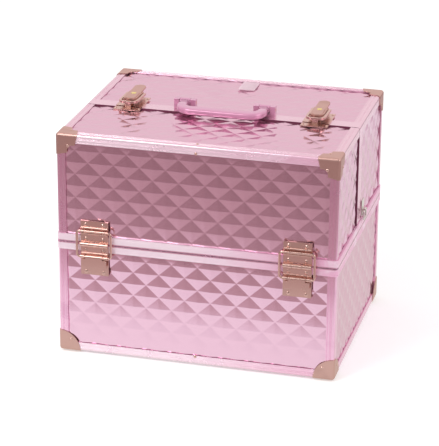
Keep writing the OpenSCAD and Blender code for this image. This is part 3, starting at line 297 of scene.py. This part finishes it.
def build_speckle():
    """Fine grain: a height for bump and a value around 1 for colour."""
    inputs = [("Scale", FLOAT, 900.0), ("Strength", FLOAT, 0.05)]
    group, given, result = effect("speckle", inputs, ["Height", "Shade"])
    noise = add_node(group, "ShaderNodeTexNoise", Detail=3.0, Roughness=0.6)
    join(group, object_place(group), noise.inputs["Vector"])
    join(group, given["Scale"], noise.inputs["Scale"])
    centred = math_node(group, "SUBTRACT", noise.outputs["Fac"], 0.5)
    spread = math_node(group, "MULTIPLY", centred, given["Strength"])
    join(group, noise.outputs["Fac"], result["Height"])
    join(group, math_node(group, "ADD", spread, 1.0), result["Shade"])
    return group


def build_drawn_lines():
    """Long fine lines: noise squeezed by a different scale along each axis."""
    inputs = [("Stretch", VECTOR, (1.0, 1.0, 1.0)), ("Scale", FLOAT, 1200.0)]
    group, given, result = effect("drawn_lines", inputs, ["Height"])
    squeeze = add_node(group, "ShaderNodeVectorMath", operation="MULTIPLY")
    join(group, object_place(group), squeeze.inputs[0])
    join(group, given["Stretch"], squeeze.inputs[1])
    noise = add_node(group, "ShaderNodeTexNoise", Detail=2.0, Roughness=0.5)
    join(group, squeeze.outputs[0], noise.inputs["Vector"])
    join(group, given["Scale"], noise.inputs["Scale"])
    join(group, noise.outputs["Fac"], result["Height"])
    return group


def build_smears():
    """Soft patches from handling: 0 where clean and 1 where dull."""
    inputs = [("Scale", FLOAT, 14.0), ("Cover", FLOAT, 0.5)]
    group, given, result = effect("smears", inputs, ["Mask"])
    broad = add_node(group, "ShaderNodeTexNoise", Detail=4.0, Roughness=0.55, Distortion=0.6)
    join(group, object_place(group), broad.inputs["Vector"])
    join(group, given["Scale"], broad.inputs["Scale"])
    over = math_node(group, "SUBTRACT", broad.outputs["Fac"], given["Cover"])
    join(group, smooth_range(group, over, SMEAR_FROM, SMEAR_TO), result["Mask"])
    return group


speckle = build_speckle()
drawn_lines = build_drawn_lines()
smears = build_smears()
print("groups", speckle.name, drawn_lines.name, smears.name)

# %% [markdown]
# One function starts each material: a Principled shader whose plain numbers sit on its own
# sockets. A second one adds what varies: a clean and a handled colour, a roughness that
# rises in the smears, and a bump from a height. Two more combine them into the two kinds of
# finish, grained and drawn.


# %% Material helpers
# How strong every bump is, and how deep the finest one is
BUMP_STRENGTH, FINE = 0.25, 0.00003
# Where the painted highlight on the left fades into the deeper pink, along X
HIGHLIGHT_FADE_FROM, HIGHLIGHT_FADE_TO = -0.04, 0.17
DRAWN_SMEARS = {"Cover": 0.55, "Scale": 22.0}


def place_group(tree, group, **values):
    """Put a node group in a material with its own values, and return its outputs."""
    node = tree.nodes.new("ShaderNodeGroup")
    node.node_tree = group
    for name, value in values.items():
        node.inputs[name].default_value = value
    return node.outputs


def mix_colours(tree, share, first, second):
    """Blend two colours, each a socket or three numbers."""
    mix = add_node(tree, "ShaderNodeMix", data_type="RGBA")
    join(tree, share, mix.inputs[0])
    for slot, colour in ((6, first), (7, second)):
        if isinstance(colour, tuple):
            mix.inputs[slot].default_value = (*colour, 1)
        else:
            join(tree, colour, mix.inputs[slot])
    return mix.outputs[2]


def new_finish(name, **values):
    """A material with one Principled shader and its plain values."""
    material = bpy.data.materials.new(name)
    material.use_nodes = True
    tree = material.node_tree
    tree.nodes.clear()
    shader = tree.nodes.new("ShaderNodeBsdfPrincipled")
    for label, value in values.items():
        shader.inputs[label.replace("_", " ")].default_value = value
    join(tree, shader.outputs[0], tree.nodes.new("ShaderNodeOutputMaterial").inputs[0])
    return material, tree, shader


def vary(tree, shader, clean, handled, rough, mask, height, depth, shade=None):
    """Drive colour and roughness by a mask, and bump by a height."""
    colour = mix_colours(tree, mask, clean, handled)
    if shade is not None:
        tint = add_node(tree, "ShaderNodeVectorMath", operation="SCALE")
        join(tree, colour, tint.inputs[0])
        join(tree, shade, tint.inputs["Scale"])
        colour = tint.outputs[0]
    join(tree, colour, shader.inputs["Base Color"])
    join(tree, smooth_range(tree, mask, 0, 1, *rough), shader.inputs["Roughness"])
    bump = add_node(tree, "ShaderNodeBump", Strength=BUMP_STRENGTH, Distance=depth)
    join(tree, height, bump.inputs["Height"])
    join(tree, bump.outputs[0], shader.inputs["Normal"])


def grained(name, clean, handled, rough, scale, depth, strength=0.05, cover=0.52, **values):
    """A finish with fine grain and smears."""
    material, tree, shader = new_finish(name, **values)
    grain = place_group(tree, speckle, Scale=scale, Strength=strength)
    mask = place_group(tree, smears, Cover=cover)["Mask"]
    vary(tree, shader, clean, handled, rough, mask, grain["Height"], depth, grain["Shade"])
    return material


def drawn(name, clean, handled, rough, stretch, deeper=None, **values):
    """A drawn or brushed metal: lines along the axis with the small stretch.

    It can carry a painted highlight that fades from the left into a deeper colour towards the
    right-hand end.
    """
    material, tree, shader = new_finish(name, **values)
    if deeper:
        # Painted highlight: paler to the left, the deeper colour to the right
        right = smooth_range(tree, coordinates(tree, "Object")["X"], HIGHLIGHT_FADE_FROM, HIGHLIGHT_FADE_TO)
        clean = mix_colours(tree, right, clean, deeper)
    height = place_group(tree, drawn_lines, Stretch=stretch)["Height"]
    mask = place_group(tree, smears, **DRAWN_SMEARS)["Mask"]
    vary(tree, shader, clean, handled, rough, mask, height, FINE)
    return material


# %% [markdown]
# The panels are pink foil on board. It is almost a mirror, so Metallic is high and the
# roughness low. The strips are anodised aluminium, and the paler ones carry a painted
# highlight and are less of a mirror.
# The fittings are plated steel with fine drawn lines, and the caps are matt. The handle is
# a glossy moulding. The lining, the trays and the feet are dull and nearly black.

# %% The finishes
# How drawn lines stretch: long or short ones along X, and short ones along Y
LONG_X, SHORT_X, SHORT_Y = (0.05, 1.0, 1.0), (0.2, 1.0, 1.0), (1.0, 0.3, 1.0)

foil = grained(
    "pink_foil", (0.87, 0.57, 0.70), (0.85, 0.55, 0.68), (0.14, 0.17), 1500.0, FINE,
    cover=0.6, Metallic=0.97, Specular_Tint=(0.90, 0.84, 0.87, 1))
plain_skin = grained(
    "plain_pink_skin", (0.80, 0.48, 0.62), (0.72, 0.42, 0.55), (0.30, 0.42), 1200.0, 0.0001)
strip_metal = drawn(
    "pink_strip_metal", (0.92, 0.57, 0.73), (0.87, 0.51, 0.68), (0.20, 0.28), LONG_X,
    Metallic=0.95)
# The rims' pale colour is a painted highlight, which fades to a deeper pink towards the right.
rim_painted_highlight = drawn(
    "painted_highlight_rim_metal", (0.97, 0.81, 0.89), (0.94, 0.74, 0.84), (0.34, 0.44), LONG_X,
    deeper=(0.88, 0.49, 0.67), Metallic=0.45)
# The pale strips' colour is a painted highlight, which fades to a deeper pink towards the right.
strip_painted_highlight = drawn(
    "painted_highlight_strip_metal", (0.96, 0.76, 0.85), (0.93, 0.70, 0.81), (0.24, 0.34), LONG_X,
    deeper=(0.90, 0.55, 0.70), Metallic=0.5)
top_strip = drawn(
    "top_strip_metal", (0.90, 0.62, 0.73), (0.86, 0.57, 0.69), (0.20, 0.30), LONG_X,
    Metallic=0.85)
# The seam's edge is painted dark: painted shade for the shadow in the gap between the halves.
seam_painted_shade = grained(
    "seam_painted_shade", (0.15, 0.022, 0.06), (0.19, 0.03, 0.08), (0.4, 0.5), 1500.0, FINE,
    strength=0.2)
rose_gold = drawn(
    "rose_gold", (0.74, 0.49, 0.43), (0.68, 0.45, 0.39), (0.26, 0.34), SHORT_X, Metallic=1.0)
cap_metal = drawn(
    "matt_rose_gold", (0.66, 0.41, 0.36), (0.60, 0.37, 0.33), (0.42, 0.50), SHORT_X,
    Metallic=0.95)
nickel = drawn(
    "satin_nickel", (0.74, 0.70, 0.66), (0.66, 0.62, 0.58), (0.24, 0.34), SHORT_X, Metallic=1.0)
handle_gloss = grained(
    "handle_gloss", (0.68, 0.31, 0.47), (0.62, 0.27, 0.43), (0.12, 0.24), 700.0, 0.00004,
    strength=0.10, Coat_Weight=0.6, Metallic=0.25)
lining_felt = grained(
    "black_lining", (0.020, 0.018, 0.020), (0.035, 0.031, 0.034), (0.75, 0.9), 2600.0, 0.0004,
    strength=0.6)
tray_plastic = grained(
    "tray_plastic", (0.030, 0.027, 0.030), (0.045, 0.041, 0.045), (0.38, 0.52), 1800.0, 0.00015,
    strength=0.2)
foot_rubber = grained(
    "foot_rubber", (0.025, 0.024, 0.025), (0.05, 0.048, 0.05), (0.6, 0.8), 1500.0, 0.0003,
    strength=0.3)
# Brass for the small plates on the top latches, which paint a highlight there
brass = drawn(
    "brass", (0.88, 0.70, 0.24), (0.80, 0.62, 0.20), (0.26, 0.36), SHORT_Y, Metallic=0.8)
clear_plate = grained(
    "clear_plate", (0.95, 0.74, 0.82), (0.88, 0.62, 0.72), (0.10, 0.24), 900.0, FINE,
    Coat_Weight=0.4, Alpha=0.62)
print("materials", len(bpy.data.materials))

# %% [markdown]
# Every solid of the frame gets one of these finishes by its name. A few names have their
# own, then the words in a name count, and anything else is a rose gold fitting.

# %% Dress the solids
FINISH_OF_NAME = {
    "base_floor_panel": plain_skin, "tray_arm_brackets": rose_gold, "handle": handle_gloss,
    "handle_brackets": handle_gloss,
}
FINISH_OF_WORD = {
    "panel": foil, "edge_strips": strip_metal, "rim": rim_painted_highlight, "corner_caps": cap_metal,
    "lining": lining_felt, "tray": tray_plastic, "feet": foot_rubber, "label_plate": clear_plate,
    "strap": nickel,
}
for name, solid in nodes.items():
    by_word = [finish for word, finish in FINISH_OF_WORD.items() if word in name]
    solid.data.materials.clear()
    solid.data.materials.append(FINISH_OF_NAME.get(name, by_word[0] if by_word else rose_gold))
print("dressed", len(nodes))

# %% [markdown]
# Some steps come back in every piece: cut with a plane, round the sharp edges, start from a
# flat shape with round corners, and stand the result for a solid. A piece keeps its object
# at the origin and rides on the body of the solid that it belongs to.


# %% Helpers for meshes
TINY = 1e-6


def verts_in(geom):
    """Only the vertices among mixed geometry."""
    return [element for element in geom if isinstance(element, bmesh.types.BMVert)]


def faces_in(geom):
    """Only the faces among mixed geometry."""
    return [element for element in geom if isinstance(element, bmesh.types.BMFace)]


def rim_of(bm):
    """The edges with a face on one side only."""
    return [edge for edge in bm.edges if edge.is_boundary]


def cut(bm, point, normal, clear_outer=False):
    """Cut everything with a plane, and clear what is beyond it if asked."""
    everything = bm.verts[:] + bm.edges[:] + bm.faces[:]
    bmesh.ops.bisect_plane(bm, geom=everything, dist=TINY / 10, plane_co=point, plane_no=normal,
                           clear_outer=clear_outer)


def round_edges(bm, degrees, width, segments=2):
    """Bevel each edge whose two faces meet at more than an angle."""
    edges = [edge for edge in bm.edges
             if len(edge.link_faces) == 2 and edge.calc_face_angle() > math.radians(degrees)]
    bmesh.ops.bevel(bm, geom=edges, offset=width, offset_type="OFFSET", segments=segments,
                    profile=0.5, affect="EDGES", material=-1, clamp_overlap=True)


def rounded_face(bm, place, radius, segments):
    """Add a rectangle with rounded corners, and return its face in a list."""
    verts = bmesh.ops.create_grid(bm, x_segments=1, y_segments=1, size=0.5)["verts"]
    bmesh.ops.transform(bm, matrix=place, verts=verts)
    bmesh.ops.bevel(bm, geom=verts, offset=radius, segments=segments, profile=0.5,
                    affect="VERTICES", material=-1)
    return [face for face in bm.faces if len(face.edges) > 4]


def finished(name, bm, node, material, replace=True):
    """Make an object from a bmesh, ride it on the node's body and stand it for the node."""
    mesh = bpy.data.meshes.new(name)
    bm.to_mesh(mesh)
    bm.free()
    mesh.materials.append(material)
    for face in mesh.polygons:
        face.use_smooth = True
    piece = bpy.data.objects.new(name, mesh)
    scene.collection.objects.link(piece)
    piece.modifiers.new("even_normals", "WEIGHTED_NORMAL").keep_sharp = True
    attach(piece, body_of_node[node])
    if replace:
        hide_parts(node)
    print(name, len(mesh.polygons), "faces")
    return piece


# %% [markdown]
# The pressed panels are the main thing one sees. The pattern is a field of diamonds, each a
# flat four-sided pyramid, so valleys run diagonally and ridges run level and upright. It is
# made from a grid: every second point is raised, the valley points are joined across each
# square, and the sheet is trimmed to its window. A small bevel rounds every crease, as a
# press does, and gives the fine bright lines along the valleys.

# %% Press the pattern
# How deep a board lies below the strips, and how thick it is
RECESS, BOARD_T = 0.0019, 0.004
# One pyramid: width, depth and height
PYRAMID_W, PYRAMID_D, PYRAMID_H = 0.0336, 0.031, 0.0012
# The bevel of a crease, the angle in degrees that makes one, and the edge sunk in the board
CREASE, CREASE_ANGLE, SKIRT = 0.0005, 1, 0.0002
# How a panel's own directions lie in the case: across, up and outwards, and how far out
FACING = {
    "front": ((1, 0, 0), (0, 0, 1), (0, -1, 0), HALF_D),
    "rear": ((-1, 0, 0), (0, 0, 1), (0, 1, 0), HALF_D),
    "right": ((0, 1, 0), (0, 0, 1), (1, 0, 0), HALF_W),
    "left": ((0, -1, 0), (0, 0, 1), (-1, 0, 0), HALF_W),
    "top": ((1, 0, 0), (0, 1, 0), (0, 0, 1), TOP_Z),
}


def grid_range(window, valley, step):
    """The first grid point before a window, and how many steps reach beyond it."""
    first = math.floor((window[0] - valley) / step) - 1
    return first, math.ceil((window[1] - valley) / step) + 1 - first


def pressed_sheet(bm, across, up, valley):
    """Add a trimmed field of pyramids to bm: across and up are its window."""
    step_x, step_y = PYRAMID_W / 2, PYRAMID_D / 2
    first_x, count_x = grid_range(across, valley[0], step_x)
    first_y, count_y = grid_range(up, valley[1], step_y)
    grid = bmesh.ops.create_grid(bm, x_segments=count_x, y_segments=count_y, size=0.5)["verts"]
    corner = Matrix.Translation((valley[0] + first_x * step_x, valley[1] + first_y * step_y, 0))
    size = Matrix.Diagonal((count_x * step_x, count_y * step_y, 1, 1))
    from_corner = Matrix.Translation((0.5, 0.5, 0))
    bmesh.ops.transform(bm, matrix=corner @ size @ from_corner, verts=grid)
    valley_points = []
    for v in grid:
        i = round((v.co.x - valley[0]) / step_x)
        j = round((v.co.y - valley[1]) / step_y)
        if (i + j) % 2:
            v.co.z = PYRAMID_H
        else:
            valley_points.append(v)
    bmesh.ops.connect_verts(bm, verts=valley_points)
    cut(bm, (across[0], 0, 0), (-1, 0, 0), clear_outer=True)
    cut(bm, (across[1], 0, 0), (1, 0, 0), clear_outer=True)
    cut(bm, (0, up[0], 0), (0, -1, 0), clear_outer=True)
    cut(bm, (0, up[1], 0), (0, 1, 0), clear_outer=True)
    round_edges(bm, CREASE_ANGLE, CREASE)
    for v in verts_in(bmesh.ops.extrude_edge_only(bm, edges=rim_of(bm))["geom"]):
        v.co.z = -SKIRT


def pressed_panel(node, facing, across, up, valley):
    """A board with its pressed sheet, in the place of a panel node.

    across and up are the window's ends in the panel's own directions, and valley is one
    valley point there.
    """
    *directions, outside = FACING[facing]
    across_dir, up_dir, out_dir = (Vector(v) for v in directions)
    low, high = (Vector(v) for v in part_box(node))
    left, right = sorted((low.dot(across_dir), high.dot(across_dir)))
    bottom, top = sorted((low.dot(up_dir), high.dot(up_dir)))
    bm = bmesh.new()
    pressed_sheet(bm, across, up, valley)
    board = bmesh.ops.create_cube(bm, size=1)["verts"]
    middle = Matrix.Translation(((left + right) / 2, (bottom + top) / 2, -BOARD_T / 2))
    size = Matrix.Diagonal((right - left, top - bottom, BOARD_T, 1))
    bmesh.ops.transform(bm, matrix=middle @ size, verts=board)
    turn = Matrix((across_dir, up_dir, out_dir)).transposed().to_4x4()
    outwards = Matrix.Translation((0, 0, outside - RECESS))
    bmesh.ops.transform(bm, matrix=turn @ outwards, verts=bm.verts[:])
    finished(node + "_pressed", bm, node, foil)


# %% [markdown]
# The windows are the same from panel to panel, cut short at the seam on the top and the
# sides. A valley point sets where the pattern starts, so that rows and columns line up with
# the middle of a panel or run on from one panel to the next.

# %% Press the panels
# The windows: low and high ends across the front and the sides, then up, then at the seam
WIDE, DEEP = (-0.1682, 0.1682), (-0.1307, 0.1307)
LOW_ROWS, HIGH_ROWS = (0.0148, 0.1427), (0.1641, 0.2844)
FRONT_PART, REAR_PART = (DEEP[0], -0.0193), (0.0023, DEEP[1])
# Valley points: the height of one on each row of panels, and the Y of one on each half
LOW_VALLEY, HIGH_VALLEY = 0.1032, 0.2752
FRONT_MID, REAR_MID = -0.0791, 0.0614


def mirrored(window):
    """A side's window as the other side sees it."""
    return -window[1], -window[0]


PANELS = {
    "base_front": (WIDE, LOW_ROWS, (-0.0986, LOW_VALLEY)),
    "base_rear": (WIDE, LOW_ROWS, (0, LOW_VALLEY)),
    "base_right": (DEEP, LOW_ROWS, (0, LOW_VALLEY)),
    "base_left": (DEEP, LOW_ROWS, (0, LOW_VALLEY)),
    "front_lid_front": (WIDE, HIGH_ROWS, (-0.1232, HIGH_VALLEY)),
    "front_lid_top": (WIDE, FRONT_PART, (0, FRONT_MID)),
    "front_lid_right": (FRONT_PART, HIGH_ROWS, (FRONT_MID, HIGH_VALLEY)),
    "front_lid_left": (mirrored(FRONT_PART), HIGH_ROWS, (-FRONT_MID, HIGH_VALLEY)),
    "rear_lid_rear": (WIDE, HIGH_ROWS, (0, HIGH_VALLEY)),
    "rear_lid_top": (WIDE, REAR_PART, (0, REAR_MID)),
    "rear_lid_right": (REAR_PART, HIGH_ROWS, (REAR_MID, HIGH_VALLEY)),
    "rear_lid_left": (mirrored(REAR_PART), HIGH_ROWS, (-REAR_MID, HIGH_VALLEY)),
}
for name, (across, up, valley) in PANELS.items():
    pressed_panel(name + "_panel", name.split("_")[-1], across, up, valley)

# %% [markdown]
# The solids have knife edges, and no real part does. Each fitting is shown by a copy of its
# solid whose sharp edges are rounded a little, so that each edge catches a line of light.
# The copy's triangles are joined into flat faces first, so the bevel follows true edges.


# %% Soften the fittings
# In degrees: an edge above SHARP is rounded, and one below FLAT is dissolved
SHARP, FLAT = 35, 1


def softened(node, material, width, segments=2, levels=(), others=(), paint=None):
    """Stand a copy of a node's solid for it, with its sharp edges rounded to a width.

    The copy is cut at the levels, and paint picks a material for each face from its middle
    and its normal: 0 is the main one, and the others follow.
    """
    bm = bmesh.new()
    bm.from_mesh(nodes[node].data)
    bm.transform(nodes[node].matrix_world)
    bmesh.ops.remove_doubles(bm, verts=bm.verts[:], dist=TINY)
    bmesh.ops.dissolve_limit(bm, angle_limit=math.radians(FLAT), verts=bm.verts[:],
                             edges=bm.edges[:])
    for level in levels:
        cut(bm, (0, 0, level), (0, 0, 1))
    round_edges(bm, SHARP, width, segments)
    if paint:
        bm.normal_update()
        for face in bm.faces:
            face.material_index = paint(face.calc_center_median(), face.normal)
    piece = finished(node + "_soft", bm, node, material)
    for extra in others:
        piece.data.materials.append(extra)


FITTINGS = {
    "base_corner_caps": 0.0004, "front_lid_corner_caps": 0.0004, "rear_lid_corner_caps": 0.0004,
    "front_latch_base_plates": 0.0003, "front_latch_lid_plates": 0.0003,
    "front_latch_lever_left": 0.0004, "front_latch_lever_right": 0.0004,
    "rear_hinge_base_leaves": 0.0003, "rear_hinge_lid_leaves": 0.0003,
    "top_latch_strikes": 0.0003, "top_latch_bases": 0.0003,
    "top_latch_lever_left": 0.0005, "top_latch_lever_right": 0.0005,
    "top_latch_ring_left": 0.0006, "top_latch_ring_right": 0.0006,
}
for node, width in FITTINGS.items():
    matt = "caps" in node or "top_latch_lever" in node
    softened(node, cap_metal if matt else rose_gold, width)
softened("handle_brackets", handle_gloss, 0.0009, segments=3)
softened("strap_lugs", nickel, 0.0003)

# %% [markdown]
# The rims and the edge strips are one solid for each half, but their faces aren't all of
# one tone. The rims are pale, a painted highlight that fades to pink on the right, with a
# pink lip beside the parting. The uprights are pink, the level strips at the bottom and
# round the top are paler, where the bottom ones and the front faces at the top carry a
# painted highlight, and the strip's edge that looks into the seam is dark with painted shade.

# %% Soften the rims and the strips
RIM_ROUND, STRIP_ROUND = 0.00035, 0.0002
# Heights: the lip's two edges, the top of the bottom strips and the foot of the top ones
LIP = (0.1514, 0.1554)
LOW_STRIP, HIGH_STRIP = 0.0142, 0.2850
# The Y of the seam, and how near to it a face is the seam's own
SEAM, SEAM_NEAR = -0.018, 0.0006
# How far a face's normal has to point to the front
STRAIGHT, LEANING = -0.9, -0.6
STRIP_TONES = (strip_painted_highlight, top_strip, seam_painted_shade)


def rim_tone(middle, normal):
    """0 for the pale band with its painted highlight, and 1 for the pink lip."""
    return int(LIP[0] < middle.z < LIP[1])


def strip_tone(middle, normal):
    """0 for uprights, and 1, 2 and 3 for the painted highlight, the top and the seam's painted
    shade.
    """
    # A face that looks into the seam gets the painted shade.
    if abs(middle.y - SEAM) < SEAM_NEAR and normal.y < STRAIGHT:
        return 3
    # The bottom strips and the front faces at the top get the painted highlight.
    if middle.z < LOW_STRIP or (middle.z > HIGH_STRIP and normal.y < LEANING):
        return 1
    return 2 if middle.z > HIGH_STRIP else 0


for half in ("base", "front_lid", "rear_lid"):
    softened(half + "_rim", rim_painted_highlight, RIM_ROUND,
             levels=LIP, others=(strip_metal,), paint=rim_tone)
for half in ("base", "front_lid", "rear_lid"):
    softened(half + "_edge_strips", strip_metal, STRIP_ROUND,
             others=STRIP_TONES, paint=strip_tone)

# %% [markdown]
# The handle is a moulding with a soft section. A rounded rectangle is drawn out along one
# arm, spun through the bend, drawn along the grip, and back through the other bend. The
# grip is deeper than the arms, so it is spread inwards, towards the user's fingers. Each
# arm ends in a hub round its pin.


# %% Mould the handle
# The X and the width of an arm, and the depth and thickness of the grip
ARM_X, ARM_W, GRIP_D, GRIP_T = 0.0525, 0.013, 0.0155, 0.009
HUB_W, BORE_R, HUB_R = 0.0136, 0.0026, 0.0051
HUB_ROUND, ARM_ROUND = 0.0006, 0.0034
HUB_STEPS, BEND_STEPS = 48, 10
# From the pins to the grip's far side, the radius of a bend, and how much lower the grip is
HANDLE_REACH, BEND, DROP = 0.038, 0.0155, 0.001
AXIS = Vector((0, 0.001, TOP_Z + 0.0075))


def drawn_out(bm, end, move):
    """Extrude the end face by a step and return the new end."""
    made = bmesh.ops.extrude_face_region(bm, geom=end, use_keep_orig=False)["geom"]
    bmesh.ops.translate(bm, verts=verts_in(made), vec=move)
    return faces_in(made)


def turned(bm, end, centre):
    """Spin the end face through a quarter turn and return the new end."""
    geom = end + list(end[0].edges) + list(end[0].verts)
    made = bmesh.ops.spin(bm, geom=geom, cent=centre, axis=(0, 0, 1), angle=math.pi / 2,
                          steps=BEND_STEPS)
    return faces_in(made["geom_last"])


bm = bmesh.new()
wall = Matrix.Diagonal((HUB_W, HUB_R - BORE_R, 1, 1))
for x in (-ARM_X, ARM_X):
    wall_place = Matrix.Translation((x, (BORE_R + HUB_R) / 2, 0))
    profile = rounded_face(bm, wall_place @ wall, HUB_ROUND, 3)
    outline = list(profile[0].edges) + list(profile[0].verts)
    bmesh.ops.delete(bm, geom=profile, context="FACES_ONLY")
    bmesh.ops.spin(bm, geom=outline, cent=(0, 0, 0), axis=(1, 0, 0), angle=math.tau,
                   steps=HUB_STEPS, use_merge=True)
upright = Matrix.Rotation(math.pi / 2, 4, "X") @ Matrix.Diagonal((ARM_W, GRIP_T, 1, 1))
arm_place = Matrix.Translation((-ARM_X, -BORE_R, 0))
end = rounded_face(bm, arm_place @ upright, ARM_ROUND, 5)
bend_y = HANDLE_REACH - ARM_W / 2 - BEND
end = drawn_out(bm, end, (0, BORE_R - bend_y, 0))
end = turned(bm, end, (BEND - ARM_X, -bend_y, 0))
end = drawn_out(bm, end, (2 * (ARM_X - BEND), 0, 0))
end = turned(bm, end, (ARM_X - BEND, -bend_y, 0))
drawn_out(bm, end, (0, bend_y - BORE_R, 0))
for v in bm.verts:
    if v.co.y < -bend_y - TINY:
        share = min(max((ARM_X - abs(v.co.x)) / BEND, 0), 1)
        spread = 1 + (GRIP_D / ARM_W - 1) * share * share * (3 - 2 * share)
        v.co.y = (v.co.y + HANDLE_REACH) * spread - HANDLE_REACH
tilt = Matrix.Rotation(math.asin(DROP / HANDLE_REACH), 4, "X")
bmesh.ops.transform(bm, matrix=Matrix.Translation(AXIS) @ tilt, verts=bm.verts[:])
bmesh.ops.recalc_face_normals(bm, faces=bm.faces[:])
finished("handle_moulded", bm, "handle", handle_gloss)

# %% [markdown]
# Each top latch has a small brass plate on its lever, a painted highlight that stands for a
# yellow gleam there. The plate is laid on the lever where a ray cast straight down meets it,
# so it seats on the metal at any slope.


# %% Seat the highlight plates
PLATE_W, PLATE_L, PLATE_ROUND = 0.006, 0.0068, 0.0016
# How high the plate stands on the metal, and how far its side reaches down into it
PLATE_LIFT, PLATE_DEPTH = 0.00009, 0.0004
# The raised middle: how far it is from the edge, and how high it is
INSET, RAISED = 0.0010, 0.00003
DOWN = Vector((0, 0, -1))


def highlight_plate(node, above):
    """Lay a small plate with a raised middle on a lever, below a point."""
    lever = nodes[node]
    corners = [lever.matrix_world @ v.co for v in lever.data.vertices]
    surface = BVHTree.FromPolygons(corners, [face.vertices for face in lever.data.polygons])
    spot, slope, _, _ = surface.ray_cast(Vector(above), DOWN)
    bm = bmesh.new()
    plate = rounded_face(bm, Matrix.Diagonal((PLATE_W, PLATE_L, 1, 1)), PLATE_ROUND, 4)
    bmesh.ops.inset_region(bm, faces=plate, thickness=INSET, depth=RAISED, use_even_offset=True)
    skirt = bmesh.ops.extrude_edge_only(bm, edges=rim_of(bm))["geom"]
    bmesh.ops.translate(bm, verts=verts_in(skirt), vec=DOWN * PLATE_DEPTH)
    tilt = (-DOWN).rotation_difference(slope).to_matrix().to_4x4()
    seat = Matrix.Translation(spot + slope * PLATE_LIFT)
    bmesh.ops.transform(bm, matrix=seat @ tilt, verts=bm.verts[:])
    bmesh.ops.recalc_face_normals(bm, faces=bm.faces[:])
    leaning = math.degrees(slope.angle(-DOWN))
    print("plate seated", [round(v, 4) for v in spot], "leaning", round(leaning, 1))
    name = node.replace("lever", "highlight_plate")
    finished(name, bm, node, brass, replace=False)


highlight_plate("top_latch_lever_left", (-0.123, 0.004, 0.4))
highlight_plate("top_latch_lever_right", (0.123, 0.004, 0.4))
